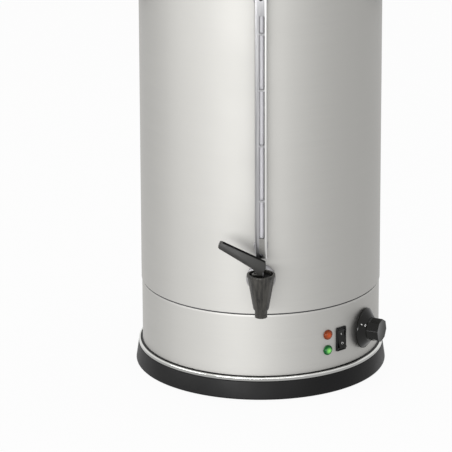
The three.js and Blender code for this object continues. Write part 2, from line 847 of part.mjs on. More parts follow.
// Tap body: a funnel with a valve seat above its tip and a boss for the shank
function makeTapBody() {
  const groove = tipHeight + (tipLength - tipGrooveWidth) / 2;
  const funnel = solid(turned([
    [0, tipHeight],
    [tipRadius, tipHeight],
    [tipRadius, groove],
    [tipRadius - tipGroove, groove],
    [tipRadius - tipGroove, groove + tipGrooveWidth],
    [tipRadius, groove + tipGrooveWidth],
    [tipRadius, tipHeight + tipLength],
    [funnelFoot - funnelInset, tipHeight + tipLength],
    [funnelFoot, funnelBottom],
    [rimRadius - rimLip, funnelTop],
    [rimRadius, funnelTop + rimLip / 2],
    [rimRadius, rimHeight - rimEdge],
    [rimRadius - rimEdge, rimHeight],
    [0, rimHeight],
  ], fittingSides));
  const chamber = solid(turned([
    [0, tipHeight - overrun],
    [outletRadius, tipHeight - overrun],
    [outletRadius, valveSeat],
    [chamberFoot, valveSeat + seatWidth],
    [chamberTop, bonnetSeat],
    [recessRadius, bonnetSeat],
    [recessRadius, rimHeight + overrun],
    [0, rimHeight + overrun],
  ], fittingSides));
  const bossBack = tapDistance - funnelRadius(shankHeight) - bossLength;
  const boss = rod(shankRadius + bossWall, bossBack, tapDistance, fittingSides);
  const socket = rod(shankRadius + slip, bossBack - overrun, socketEnd, fittingSides);
  const inlet = rod(shankBore, bossBack - overrun, tapDistance, smallSides);
  return cut(
    join(funnel, seenFrom(tapFrame, shankFrame, boss)),
    chamber,
    seenFrom(tapFrame, shankFrame, socket),
    seenFrom(tapFrame, shankFrame, inlet),
  );
}

place('tap_body', makeTapBody(), glossBlack(), tapFrame);
place('tap_bonnet', solid(pipe(stemRadius + slip, recessRadius - slip, bonnetSeat + seat, bonnetTop,
  smallSides)), blackPlastic(), tapFrame);

// Valve: the spring holds the cup on its seat, and the lever's heel lifts the stem off the washer
const throwAngle = THREE.MathUtils.degToRad(leverThrow);
const valveLift = heelThrow * throwAngle;
const cupFoot = valveSeat + cupNose - outletRadius + seat * Math.SQRT2;
const cupTop = cupFoot + cupHeight;
const heelHeight = pinHeight - seat;

function makeSeatCup() {
  const socket = cupTop - cupGrip;
  return solid(turned([
    [0, cupFoot],
    [cupNose, cupFoot],
    [cupRadius, cupFoot + cupRadius - cupNose],
    [cupRadius, cupTop],
    [stemRadius + slip, cupTop],
    [stemRadius + slip, socket - seat],
    [0, socket - seat],
  ], smallSides));
}

function makeStem() {
  const tangFoot = washerTop - valveLift - 2 * seat;
  const tangTop = leverAxis + stemRadius;
  const flats = solid(block(4 * stemRadius, 2 * tangHalf, tangFoot, tangTop + overrun));
  const lower = solid(block(4 * stemRadius, 4 * stemRadius, 0, tangFoot));
  const eye = rod(pinRadius + slip, -leverWidth, leverWidth, smallSides).rotateX(Math.PI / 2);
  const whole = solid(rod(stemRadius, cupTop - cupGrip, tangTop, smallSides));
  return cut(whole.intersect(join(flats, lower)), solid(eye.translate(0, 0, leverAxis)));
}

function makeSpring() {
  const foot = cupTop + seat + springWire;
  const rise = bonnetSeat - springWire - foot;
  class Helix extends THREE.Curve {
    getPoint(share, target = new THREE.Vector3()) {
      const turn = 2 * Math.PI * springTurns * share;
      return target.set(springRadius * Math.cos(turn), springRadius * Math.sin(turn), foot + rise * share);
    }
  }
  return solid(swept(new Helix(), springWire, wireSides, springTurns * springSteps));
}

place('thrust_washer', solid(pipe(stemRadius + slip, recessRadius - 2 * slip, bonnetTop + seat, washerTop,
  smallSides)), springSteel(), tapFrame);
place('seat_cup', makeSeatCup(), silicone(), tapFrame);
place('tap_stem', makeStem(), chrome(), tapFrame);
place('stem_spring', makeSpring(), springSteel(), tapFrame);

// Lever: a forked head on the stem's pin, with an involute heel, and a tapering grip
function makeLever() {
  const rise = THREE.MathUtils.degToRad(leverRise);
  const along = (distance, above) => [
    above * Math.sin(rise) - distance * Math.cos(rise),
    above * Math.cos(rise) + distance * Math.sin(rise),
  ];
  const heel = Array.from({ length: arcSteps + 1 }, (_, step) => {
    const turn = throwAngle * step / arcSteps;
    const drop = heelHeight + heelThrow * turn;
    return [
      -drop * Math.sin(turn) - heelThrow * Math.cos(turn),
      -drop * Math.cos(turn) + heelThrow * Math.sin(turn),
    ];
  });
  const toe = heel[arcSteps];
  const toeThick = leverEdge * 2;
  const noseTop = (leverTop - leverNose * Math.sin(rise)) / Math.cos(rise);
  const side = outline([
    [heelFront, -heelHeight],
    [heelFront, -leverRoot],
    [leverNose, leverEdge],
    [leverNose, noseTop - leverEdge],
    [leverNose - leverEdge, noseTop + leverEdge * Math.sin(rise)],
    along(leverReach - leverEdge, leverTop),
    along(leverReach, leverTop - leverEdge),
    along(leverReach, leverTop - leverTip + leverEdge),
    along(leverReach - leverEdge, leverTop - leverTip),
    along(heelWaist, -leverRoot + leverEdge),
    [-heelWaist, -leverRoot],
    [-heelWaist, toe[1] + 2 * toeThick],
    [toe[0], toe[1] + toeThick],
    ...heel.reverse(),
  ]);
  const body = extruded(side, -leverWidth / 2, leverWidth / 2).rotateX(Math.PI / 2);
  const forkRear = (heelHeight + valveLift) * Math.sin(throwAngle) + stemRadius * Math.cos(throwAngle) + slip;
  const forkRoof = stemRadius * Math.SQRT2 + slip;
  const forkFront = leverNose + overrun;
  const fork = block(forkRear + forkFront, 2 * (tangHalf + slip), -heelHeight - overrun, forkRoof);
  const hole = rod(pinRadius + slip, -leverWidth, leverWidth, smallSides).rotateX(Math.PI / 2);
  return cut(solid(body), solid(fork.translate((forkFront - forkRear) / 2, 0, 0)), solid(hole));
}

const leverFrame = uprightFrame(0, -tapDistance, leverAxis);
place('lever_pin', solid(rod(pinRadius, seat - leverWidth / 2, leverWidth / 2 - seat, smallSides)
  .rotateX(Math.PI / 2)), chrome(), leverFrame);
place('tap_lever', makeLever(), blackPlastic(), leverFrame);

// Sight gauge: a glass in two elbows that pass through the walls, behind a slotted guard
function makeElbow(frame, toGlass) {
  const front = drumRadius + elbowFlangeThick;
  const flange = solid(rod(elbowFlange, jacketInner - overrun, front, fittingSides));
  const saddle = flange.subtract(drum(frame, drumRadius + seat));
  const neck = solid(rod(elbowRadius, front - elbowFlangeThick / 2, tubeDistance, smallSides));
  const low = toGlass > 0 ? -elbowTail : -elbowSocket;
  const high = toGlass > 0 ? elbowSocket : elbowTail;
  const upright = seenFrom(frame, tubeFrame, rod(elbowRadius, low, high, smallSides)
    .translate(0, 0, frame.position.z));
  const stem = solid(rod(gaugeStem, gaugeInnerEnd, front, smallSides));
  const mouth = toGlass * elbowSocket;
  const floor = mouth - toGlass * socketDepth;
  const socket = rod(tubeRadius + slip, Math.min(floor, mouth + toGlass * overrun),
    Math.max(floor, mouth + toGlass * overrun), smallSides).translate(0, 0, frame.position.z);
  const passage = rod(gaugeBore, Math.min(0, mouth), Math.max(0, mouth), smallSides)
    .translate(0, 0, frame.position.z);
  const bore = solid(rod(gaugeBore, gaugeInnerEnd - overrun, tubeDistance, smallSides));
  const threadEnd = guardFront - guardSheet - guardScrewDepth - seat;
  const thread = solid(rod(guardScrew + slip, threadEnd, guardFront + overrun, smallSides)
    .translate(0, screwHeight(toGlass) - frame.position.z, 0));
  return cut(
    join(saddle, neck, upright, stem),
    seenFrom(frame, tubeFrame, socket),
    seenFrom(frame, tubeFrame, passage),
    bore,
    thread,
  );
}

function screwHeight(toGlass) {
  return toGlass > 0 ? guardFoot + guardScrewInset : guardTop - guardScrewInset;
}

function makeGuard() {
  const back = drumRadius + elbowFlangeThick + seat;
  const side = outline([
    [back, guardFoot],
    [guardFront - guardCorner, guardFoot],
    ...arc(guardFront - guardCorner, guardFoot + guardCorner, guardCorner, guardCorner, -90, 0, arcSteps),
    ...arc(guardFront - guardCorner, guardTop - guardCorner, guardCorner, guardCorner, 0, 90, arcSteps),
    [back, guardTop],
  ]);
  const outer = solid(extruded(side, -guardHalf, guardHalf).rotateX(Math.PI / 2).rotateZ(-Math.PI / 2));
  const inner = solid(new THREE.BoxGeometry(
    2 * (guardHalf - guardSheet), 2 * (guardFront - guardSheet), 2 * guardTop));
  const slots = [];
  const edges = Array.from({ length: bridgeCount }, (_, index) => (
    slotFoot + bridgeLift + bridgeStep * index));
  [slotFoot - bridgeHeight / 2, ...edges].forEach((edge, index) => {
    const low = edge + bridgeHeight / 2;
    const high = index < bridgeCount ? edges[index] - bridgeHeight / 2 : slotTop;
    slots.push(solid(new THREE.BoxGeometry(slotWidth, 2 * overrun, high - low)
      .translate(0, -guardFront, (low + high) / 2)));
  });
  const holes = [1, -1].map((toGlass) => (
    seenFrom(urn, guardFrame, rod(guardScrew + slip, guardFront - overrun, guardFront + overrun, smallSides)
      .translate(0, screwHeight(toGlass), 0))));
  return cut(outer, inner, ...slots, ...holes);
}

function makeGuardScrew() {
  const head = guardFront + seat;
  return solid(turned([
    [0, guardFront - guardSheet - guardScrewDepth],
    [guardScrew, guardFront - guardSheet - guardScrewDepth],
    [guardScrew, head],
    [guardScrewHead, head],
    [guardScrewHead, head + guardScrewHeadHeight / 2],
    [guardScrewHead - guardScrewHeadHeight / 2, head + guardScrewHeadHeight],
    [0, head + guardScrewHeadHeight],
  ], smallSides));
}

const glassFoot = gaugeFoot + elbowSocket - socketDepth + seat;
const glassHead = gaugeHead - elbowSocket + socketDepth - seat;
place('gauge_guard', makeGuard(), chrome());
place('gauge_tube', solid(pipe(tubeRadius - tubeWall, tubeRadius, glassFoot, glassHead, smallSides)), glass(),
  tubeFrame);
[['lower', lowerGauge, 1], ['upper', upperGauge, -1]].forEach(([end, frame, toGlass]) => {
  const mouth = frame.position.z + toGlass * (elbowSocket + seat);
  const sealEnds = [mouth, mouth + toGlass * tubeSealHeight].sort((a, b) => a - b);
  place(`gauge_elbow_${end}`, makeElbow(frame, toGlass), chrome(), frame);
  place(`tube_seal_${end}`, solid(pipe(tubeRadius + slip, elbowRadius, ...sealEnds, smallSides)), rubber(),
    tubeFrame);
  place(`gauge_seal_${end}`, wallSeal(frame, gaugeStem), silicone(), frame);
  place(`gauge_nut_${end}`, hexNut(gaugeStem, nutWidth, gaugeInnerEnd + shankEnd,
    gaugeInnerEnd + shankEnd + gaugeNutThick), plainSteel(), frame);
  place(`guard_screw_${end}`, makeGuardScrew(), springSteel(), wallFrame(0, screwHeight(toGlass)));
});

// Pilot lamps
function makeBezel() {
  const back = housingRadius + seat;
  return solid(ring([
    [lensStub + slip, back - lampDepth],
    [lampBarrel, back - lampDepth],
    [lampBarrel, back],
    [lampRadius, back],
    [lampRadius, back + lampFlange - lampEdge],
    [lampRadius - lampEdge, back + lampFlange],
    [lensRadius + slip, back + lampFlange],
    [lensRadius + slip, back + seat],
    [lensStub + slip, back + seat],
  ], smallSides));
}

function makeLens() {
  const back = housingRadius + 3 * seat;
  return solid(turned([
    [0, back - lampDepth / 2],
    [lensStub, back - lampDepth / 2],
    [lensStub, back],
    [lensRadius, back],
    ...arc(0, back + lampFlange, lensRadius, lensRise, 0, 90, arcSteps),
  ], smallSides));
}

[['heating', heatingLamp, 0xc05a30], ['ready', readyLamp, 0x3fae58]].forEach(([name, frame, color]) => {
  place(`lamp_bezel_${name}`, makeBezel(), blackPlastic(), frame);
  place(`lamp_lens_${name}`, makeLens(), finish(color, 0.25, 0), frame);
});

// Rocker switch, shown with its upper end pressed in
const rockerWidth = switchWidth - 2 * switchLip - 2 * switchWall - 2 * slip;
const rockerTall = switchTall - 2 * switchLip - 2 * switchWall - 2 * slip;
const rockerAxis = housingRadius + seat + switchFlange - rockerTall / 2 * Math.tan(
  THREE.MathUtils.degToRad(rockerTilt)) - slip;

function makeSwitchFrame() {
  const back = housingRadius + seat;
  const bodyWidth = switchWidth - 2 * switchLip;
  const bodyTall = switchTall - 2 * switchLip;
  const tail = back - switchDepth;
  const blade = block(bladeWidth, bladeThick, tail - bladeLength, tail + switchFloor / 2);
  const body = join(
    solid(extruded(roundedBox(switchWidth, switchTall, switchRound), back, back + switchFlange)),
    solid(block(bodyWidth, bodyTall, tail, back + switchFlange / 2)),
    solid(blade.clone().translate(0, bodyTall / 4, 0)),
    solid(blade.clone().translate(0, -bodyTall / 4, 0)),
  );
  const well = block(bodyWidth - 2 * switchWall, bodyTall - 2 * switchWall, tail + switchFloor,
    back + switchFlange + overrun);
  const pivot = rod(rockerPin + slip, -switchWidth, switchWidth, smallSides).rotateY(Math.PI / 2);
  return cut(body, solid(well), solid(pivot.translate(0, 0, rockerAxis)));
}

function makeRocker() {
  const tilt = THREE.MathUtils.degToRad(rockerTilt);
  const half = rockerTall / 2;
  const drop = half * Math.tan(tilt);
  const end = half * Math.cos(tilt) - (rockerProud + drop) * Math.sin(tilt);
  const cheek = outline([
    [-end, rockerProud + drop],
    [-end, -drop],
    [-half / 2, -drop - switchFlange],
    [half / 2, -drop - switchFlange],
    [end, -drop],
    [end, rockerProud + drop],
    [0, rockerProud],
  ]);
  const reach = rockerWidth / 2 + slip + rockerPinReach;
  const cheeks = extruded(cheek, -rockerWidth / 2, rockerWidth / 2);
  const [body, pivot] = [cheeks, rod(rockerPin, -reach, reach, smallSides)].map((piece) => solid(
    piece.rotateX(Math.PI / 2).rotateZ(Math.PI / 2).rotateX(-tilt).translate(0, 0, rockerAxis)));
  return join(body, pivot);
}

place('switch_frame', makeSwitchFrame(), blackPlastic(), switchFrame);
place('switch_rocker', makeRocker(), glossBlack(), switchFrame);

// Thermostat: its bush passes through the housing and carries the dial's shaft
const nutFoot = housingRadius + seat + bushNut * dialLean;
const bushEnd = nutFoot + bushNutThick + seat;
const shaftEnd = bushEnd + seat + shaftGrip;
const controlFront = housingInner - slip - controlWidth ** 2 / 8 / housingInner - controlWidth / 2 * dialLean;

function makeControl() {
  const box = softened(roundedBox(controlWidth, controlTall, controlRound), controlFront - controlDepth,
    controlFront, controlRound / 2);
  const bush = rod(bushRadius, controlFront - controlRound, bushEnd, smallSides);
  const bore = rod(shaftRadius + slip, controlFront - shaftDepth - seat, bushEnd + overrun, smallSides);
  return cut(join(solid(box), solid(bush)), solid(bore));
}

function makeShaft() {
  const round = solid(rod(shaftRadius, controlFront - shaftDepth, shaftEnd, smallSides));
  const flat = block(4 * shaftRadius, 2 * shaftRadius, bushEnd + seat, shaftEnd + overrun);
  return round.subtract(solid(flat.translate(0, shaftFlat + shaftRadius, 0)));
}

function makeDial() {
  const back = housingRadius + dialLift;
  const face = back + dialThick;
  const skirt = solid(turned([
    [0, back],
    [dialRadius - dialEdge, back],
    [dialRadius, back + dialEdge],
    [dialRadius, face - dialEdge],
    [dialRadius - dialEdge, face],
    [gripFoot, face + dialDish],
    [0, face + dialDish],
  ], 2 * fittingSides));
  const grip = solid(turned([
    [0, back + dialThick / 2],
    [gripFoot, back + dialThick / 2],
    [gripFoot, face + dialDish],
    [gripCorner, face + dialDish + gripFlare],
    [gripCorner, housingRadius + gripEnd - gripEdge],
    [gripCorner - gripEdge, housingRadius + gripEnd],
    [0, housingRadius + gripEnd],
  ], gripSides).rotateZ(Math.PI / gripSides));
  const recess = rod(bushNut + 2 * slip, back - overrun, bushEnd + seat, fittingSides);
  const round = solid(rod(shaftRadius + slip, back - overrun, shaftEnd + seat, smallSides));
  const flat = block(4 * shaftRadius, 2 * shaftRadius, back - 2 * overrun, shaftEnd + overrun);
  const socket = round.subtract(solid(flat.translate(0, shaftFlat + slip + shaftRadius, 0)));
  return cut(join(skirt, grip), solid(recess), socket);
}

place('thermostat_body', makeControl(), blackPlastic(), dialFrame);
place('thermostat_nut', hexNut(bushRadius, bushNut - bushRadius, nutFoot, nutFoot + bushNutThick),
  plainSteel(), dialFrame);
place('thermostat_shaft', makeShaft(), plainSteel(), dialFrame);
place('thermostat_knob', makeDial(), glossBlack(), dialFrame);

// Heater under the tank: plate, ring element, clamp bar, cut-out and the thermostat's bulb
function makePlate() {
  const disc = solid(rod(plateRadius, plateUnder, plateUnder + plateThick, fittingSides));
  return disc.subtract(solid(rod(heaterStud + slip, plateUnder - overrun, tankUnder + overrun, smallSides)));
}

function makeElement() {
  const height = plateUnder - seat - elementRadius;
  class Loop extends THREE.Curve {
    getPoint(share, target = new THREE.Vector3()) {
      const turn = THREE.MathUtils.degToRad(elementGap / 2 + (360 - elementGap) * share);
      return target.set(elementCircle * Math.cos(turn), elementCircle * Math.sin(turn), height);
    }
  }
  const ends = [0, 1].map((share) => new Loop().getPoint(share));
  const tail = rod(elementEnd, height - elementRadius - elementTail, height, wireSides);
  return join(
    solid(swept(new Loop(), elementRadius, wireSides, drumSides / 2)),
    ...ends.map(({ x, y }) => solid(tail.clone().translate(x, y, 0))),
  );
}

function makeClamp() {
  const length = 2 * (elementCircle + elementRadius) + clampWidth;
  const bar = solid(extruded(roundedBox(clampWidth, length, clampWidth / 2 - seat), clampTop - clampThick,
    clampTop));
  return bar.subtract(solid(rod(heaterStud + slip, clampTop - clampThick - overrun, clampTop + overrun,
    smallSides)));
}

function makeLimiter() {
  const top = plateUnder - seat;
  return solid(turned([
    [0, top - limiterHeight],
    [limiterRadius, top - limiterHeight],
    [limiterRadius, top - limiterFlangeThick],
    [limiterFlange, top - limiterFlangeThick],
    [limiterFlange, top],
    [0, top],
  ], smallSides).translate(-limiterOffset, 0, 0));
}

function makeCapillary() {
  const top = plateUnder - seat - bulbRadius;
  const bulb = rod(bulbRadius, -bulbLength / 2, bulbLength / 2, wireSides).rotateX(Math.PI / 2);
  const start = new THREE.Vector3(bulbOffset, bulbRadius - bulbLength / 2, top);
  const end = new THREE.Vector3(0, 0, controlFront - controlDepth - seat).applyMatrix4(dialFrame.matrixWorld);
  const inward = new THREE.Vector3(0, 0, -capillaryBend).applyMatrix4(dialFrame.matrixWorld)
    .sub(new THREE.Vector3().applyMatrix4(dialFrame.matrixWorld));
  const path = new THREE.CubicBezierCurve3(
    start, new THREE.Vector3(0, -capillaryBend, 0).add(start), inward.add(end), end);
  return join(
    solid(bulb.translate(bulbOffset, 0, top)),
    solid(swept(path, capillaryRadius, wireSides, capillarySteps)),
  );
}

place('heat_plate', makePlate(), aluminium());
place('heating_element', makeElement(), plainSteel());
place('clamp_bar', makeClamp(), plainSteel());
const clampNutTop = clampTop - clampThick - seat;
place('clamp_nut', hexNut(heaterStud, clampNutRadius - heaterStud, clampNutTop - clampNutThick, clampNutTop),
  plainSteel());
place('limiter', makeLimiter(), ceramic());
place('capillary_tube', makeCapillary(), plainSteel());

// Mains entry at the back: gland, its cap nut and the terminal block
function makeGland() {
  const back = housingRadius + seat;
  const from = housingInner - glandTail;
  const to = back + glandFlangeThick + glandNeck;
  const body = join(
    solid(rod(glandThread, from, to, fittingSides)),
    solid(rod(glandFlange, back, back + glandFlangeThick, hexSides)),
  );
  return body.subtract(solid(rod(glandBore, from - overrun, to + overrun, fittingSides)));
}

function makeGlandNut() {
  const foot = housingRadius + seat + glandFlangeThick + seat;
  const end = foot + glandNutLength;
  const outer = glandThread + slip + glandNutWall;
  const crown = glandNutLength / 4;
  return solid(ring([
    [glandThread + slip, foot],
    [outer, foot],
    [outer, end - crown],
    [outer - crown, end],
    [glandBore, end],
    [glandBore, end - crown],
    [glandThread + slip, end - crown],
  ], fittingSides));
}

function makeTerminalBlock() {
  const foot = baseFloor + seat;
  const body = solid(block(blockWidth, blockDepth, foot, foot + blockHeight).translate(0, blockOffset, 0));
  const wells = Array.from({ length: blockWays }, (_, index) => {
    const x = blockWidth / blockWays * (index - (blockWays - 1) / 2);
    return solid(rod(blockWell, foot + blockHeight - blockWellDepth, foot + blockHeight + overrun, smallSides)
      .translate(x, blockOffset, 0));
  });
  return cut(body, ...wells);
}

place('cable_gland', makeGland(), blackPlastic(), glandFrame);
place('gland_nut', makeGlandNut(), blackPlastic(), glandFrame);
place('terminal_block', makeTerminalBlock(), ceramic());

export default urn;
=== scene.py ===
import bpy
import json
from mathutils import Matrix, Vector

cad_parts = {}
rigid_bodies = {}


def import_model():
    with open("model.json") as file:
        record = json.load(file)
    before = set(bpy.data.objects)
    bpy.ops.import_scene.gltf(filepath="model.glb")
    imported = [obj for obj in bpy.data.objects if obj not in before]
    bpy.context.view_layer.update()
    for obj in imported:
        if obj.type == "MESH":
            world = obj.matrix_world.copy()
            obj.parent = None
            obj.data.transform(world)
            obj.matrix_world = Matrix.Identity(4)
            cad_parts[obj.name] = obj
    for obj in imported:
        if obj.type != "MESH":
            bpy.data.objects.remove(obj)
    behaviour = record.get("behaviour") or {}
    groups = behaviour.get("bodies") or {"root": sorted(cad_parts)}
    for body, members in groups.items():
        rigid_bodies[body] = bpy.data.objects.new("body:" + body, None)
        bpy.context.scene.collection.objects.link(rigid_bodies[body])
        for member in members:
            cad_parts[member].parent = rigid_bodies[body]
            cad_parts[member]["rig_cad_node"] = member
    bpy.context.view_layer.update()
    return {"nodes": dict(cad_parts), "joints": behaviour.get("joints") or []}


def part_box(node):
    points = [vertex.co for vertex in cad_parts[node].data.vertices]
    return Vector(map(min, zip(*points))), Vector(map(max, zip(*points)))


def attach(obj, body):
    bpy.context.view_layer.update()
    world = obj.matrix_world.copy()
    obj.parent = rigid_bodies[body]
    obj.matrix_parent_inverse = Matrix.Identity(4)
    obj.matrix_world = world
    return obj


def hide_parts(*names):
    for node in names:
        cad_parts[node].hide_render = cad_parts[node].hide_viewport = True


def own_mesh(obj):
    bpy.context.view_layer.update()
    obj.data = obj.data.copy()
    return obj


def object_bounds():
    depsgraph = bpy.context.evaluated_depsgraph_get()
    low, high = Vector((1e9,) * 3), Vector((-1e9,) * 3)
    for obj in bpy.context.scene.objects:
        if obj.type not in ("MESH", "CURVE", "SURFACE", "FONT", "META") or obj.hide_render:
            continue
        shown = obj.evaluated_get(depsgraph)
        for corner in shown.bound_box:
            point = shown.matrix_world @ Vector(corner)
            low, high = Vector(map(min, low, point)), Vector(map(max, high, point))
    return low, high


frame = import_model()

import json
import math

import bmesh
import bpy
from mathutils import Matrix, Vector

# Camera: a long lens a little above the urn, almost straight in front of the tap, with the urn's upper part
# cropped as in the photograph. It aims slightly to the tap's left and leans by a fifth of a degree.
camera_height = 1.6906
camera_distance = 4.545
camera_offset = -0.012
camera_yaw = math.radians(0.396)
camera_pitch = math.radians(90 - 18.48)
camera_roll = math.radians(-0.21)
lens = bpy.data.cameras.new("camera")
lens.sensor_width = 36
lens.lens = 303.9
lens.clip_end = 30
camera = bpy.data.objects.new("camera", lens)
camera.matrix_world = (
    Matrix.Translation((camera_offset, -camera_distance, camera_height)) @ Matrix.Rotation(camera_yaw, 4, "Z")
    @ Matrix.Rotation(camera_pitch, 4, "X") @ Matrix.Rotation(camera_roll, 4, "Z"))
bpy.context.scene.collection.objects.link(camera)
bpy.context.scene.camera = camera

# Base ring: a black ABS moulding that carries the whole urn. It flares towards its foot, has a flat floor
# with a rebate for the cover, and an upstand inside that locates the steel housing.
mm = 0.001
# Pieces that slide into each other have 0.35 mm of play, and most that stand on another are 0.3 mm off it.
slip = 0.35 * mm
gap = 0.3 * mm
drum_sides = 256


def colour(code):
    """An sRGB hex colour as the linear colour that Blender's sockets take."""
    shares = [int(code[place:place + 2], 16) / 255 for place in (1, 3, 5)]
    return [*(share / 12.92 if share <= 0.04045 else ((share + 0.055) / 1.055) ** 2.4 for share in shares), 1]


def new_finish(name, slot):
    """An empty material for one finish. It remembers the record's slot that it shows."""
    finish = bpy.data.materials.new(name)
    finish.use_nodes = True
    finish.node_tree.nodes.clear()
    finish["slot"] = slot
    return finish, finish.node_tree


def add(tree, kind, inputs=(), **settings):
    """Adds a node. Inputs go by socket name or number, to a value or to another node's output."""
    node = tree.nodes.new("ShaderNode" + kind)
    for name, value in settings.items():
        setattr(node, name, value)
    for name, value in dict(inputs).items():
        if isinstance(value, bpy.types.NodeSocket):
            tree.links.new(value, node.inputs[name])
        else:
            node.inputs[name].default_value = value
    return node


def filleted(corners, steps=4):
    """A profile with rounded corners. A corner is (x, y), or (x, y, how far back its rounding starts)."""
    points = []
    for index, (x, y, *setback) in enumerate(corners):
        here = Vector((x, y))
        if not setback:
            points.append(here)
            continue
        before = Vector(corners[index - 1][:2]) - here
        after = Vector(corners[(index + 1) % len(corners)][:2]) - here
        start = here + before.normalized() * setback[0]
        end = here + after.normalized() * setback[0]
        for step in range(steps + 1):
            share = step / steps
            points.append(start * (1 - share) ** 2 + here * 2 * share * (1 - share) + end * share ** 2)
    return [tuple(point) for point in points]


def lofted(rings, loop=False):
    """A bmesh through rings of points, closed by end faces or by joining the last ring to the first."""
    mesh = bmesh.new()
    made = [[mesh.verts.new(point) for point in ring] for ring in rings]
    pairs = list(zip(made, made[1:]))
    if loop:
        pairs.append((made[-1], made[0]))
    else:
        mesh.faces.new(made[0])
        mesh.faces.new(made[-1])
    for low, high in pairs:
        for index in range(len(low)):
            after = (index + 1) % len(low)
            mesh.faces.new((low[index], low[after], high[after], high[index]))
    return mesh


def turned(profile, sides=64, loop=False):
    """A bmesh turned round the z axis from a profile of (radius, height)."""
    turns = [2 * math.pi * side / sides for side in range(sides)]
    return lofted([[(radius * math.cos(turn), radius * math.sin(turn), height) for turn in turns]
                   for radius, height in profile], loop)


def dress(piece, finish, crease=30):
    """Gives a piece its finish and smooths it, except across edges sharper than the crease in degrees."""
    piece.data.materials.clear()
    piece.data.materials.append(finish)
    piece.data.polygons.foreach_set("use_smooth", [True] * len(piece.data.polygons))
    piece.data.set_sharp_from_angle(angle=math.radians(crease))


def fit(name, mesh, finish, body="urn", stands_for=(), place=Matrix.Identity(4), crease=30):
    """Makes a piece from a bmesh, in its place on the urn, riding on its body and standing for its nodes."""
    bmesh.ops.recalc_face_normals(mesh, faces=mesh.faces)
    data = bpy.data.meshes.new(name)
    mesh.to_mesh(data)
    mesh.free()
    data.transform(place)
    piece = bpy.data.objects.new(name, data)
    bpy.context.scene.collection.objects.link(piece)
    dress(piece, finish, crease)
    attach(piece, body)
    if stands_for:
        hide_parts(*stands_for)
    return piece


# Moulded ABS from a spark-eroded mould: a fine matt grain that breaks up its highlights. The real grain is
# about 0.2 mm; it is drawn at 0.9 mm so that it shows.
abs_grain = 0.9 * mm
moulded_abs, tree = new_finish("moulded_abs", "black_plastic")
where = add(tree, "TexCoord").outputs["Object"]
grain = add(tree, "TexNoise", {"Vector": where, "Scale": 1 / abs_grain, "Detail": 3, "Roughness": 0.6})
handled = add(tree, "TexNoise", {"Vector": where, "Scale": 1 / (45 * mm), "Detail": 4})
shine = add(tree, "MapRange", {
    "Value": handled.outputs["Fac"], "From Min": 0.3, "From Max": 0.7, "To Min": 0.38, "To Max": 0.5})
tint = add(tree, "MixRGB", {"Fac": grain.outputs["Fac"], "Color1": colour("#070707"), "Color2": colour("#0c0c0d")})
relief = add(tree, "Bump", {"Height": grain.outputs["Fac"], "Strength": 0.25, "Distance": 0.08 * mm})
surface = add(tree, "BsdfPrincipled", {
    "Base Color": tint.outputs["Color"], "Roughness": shine.outputs["Result"], "IOR": 1.54,
    "Specular IOR Level": 0.13, "Normal": relief.outputs["Normal"]})
add(tree, "OutputMaterial", {"Surface": surface.outputs["BSDF"]})

base_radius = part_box("base_ring")[1].x
base_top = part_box("trim_ring")[0].z - gap
upstand_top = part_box("base_ring")[1].z
cover_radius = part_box("base_cover")[1].x
shoulder_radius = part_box("trim_ring")[1].x + gap
upstand_radius = shoulder_radius - 6.45 * mm
base_wall = 3 * mm
base_lip = 2 * mm
foot_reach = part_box("foot_1")[1].xy.length
base_floor = 4.8 * mm
cover_rebate = 1.8 * mm
cover_lip = 6 * mm
fit("base_moulding", turned(filleted([
    (cover_radius + slip, 0, 0.3 * mm),
    (foot_reach, 0, 0.3 * mm),
    (foot_reach, -base_lip, 0.3 * mm),
    (base_radius - 0.8 * mm, -base_lip, 0.5 * mm),
    (base_radius, 1.2 * mm - base_lip, 0.8 * mm),
    (shoulder_radius, base_top, 0.9 * mm),
    (upstand_radius, base_top, 0.3 * mm),
    (upstand_radius, upstand_top, 0.6 * mm),
    (upstand_radius - base_wall, upstand_top, 0.6 * mm),
    (upstand_radius - base_wall, base_top - base_wall, 0.6 * mm),
    (shoulder_radius - base_wall, base_top - base_wall, 0.6 * mm),
    (base_radius - base_wall, base_floor, 0.6 * mm),
    (cover_radius - cover_lip, base_floor, 0.4 * mm),
    (cover_radius - cover_lip, cover_rebate, 0.2 * mm),
    (cover_radius + slip, cover_rebate, 0.1 * mm),
]), drum_sides, loop=True), moulded_abs, stands_for=["base_ring"])

# Base cover: a stamped stainless disc with radial vent slots, screwed up into the base's floor. It keeps
# the mill finish of the sheet, dull and a little cloudy.
mill_stainless, tree = new_finish("mill_stainless", "plain_stainless")
where = add(tree, "TexCoord").outputs["Object"]
cloud = add(tree, "TexNoise", {"Vector": where, "Scale": 1 / (30 * mm), "Detail": 5, "Roughness": 0.65})
# The rolling marks are 0.7 mm apart and run for 25 mm.
rolled = add(tree, "TexNoise", {
    "Vector": add(tree, "Mapping", {"Vector": where, "Scale": (0.04 / mm, 1.5 / mm, 1.5 / mm)}).outputs["Vector"],
    "Scale": 1, "Detail": 2})
shine = add(tree, "MapRange", {
    "Value": cloud.outputs["Fac"], "From Min": 0.3, "From Max": 0.7, "To Min": 0.3, "To Max": 0.42})
tint = add(tree, "MixRGB", {"Fac": rolled.outputs["Fac"], "Color1": colour("#a3a29e"), "Color2": colour("#b9b8b4")})
surface = add(tree, "BsdfPrincipled", {
    "Base Color": tint.outputs["Color"], "Metallic": 1, "Roughness": shine.outputs["Result"]})
add(tree, "OutputMaterial", {"Surface": surface.outputs["BSDF"]})
dress(frame["nodes"]["base_cover"], mill_stainless)

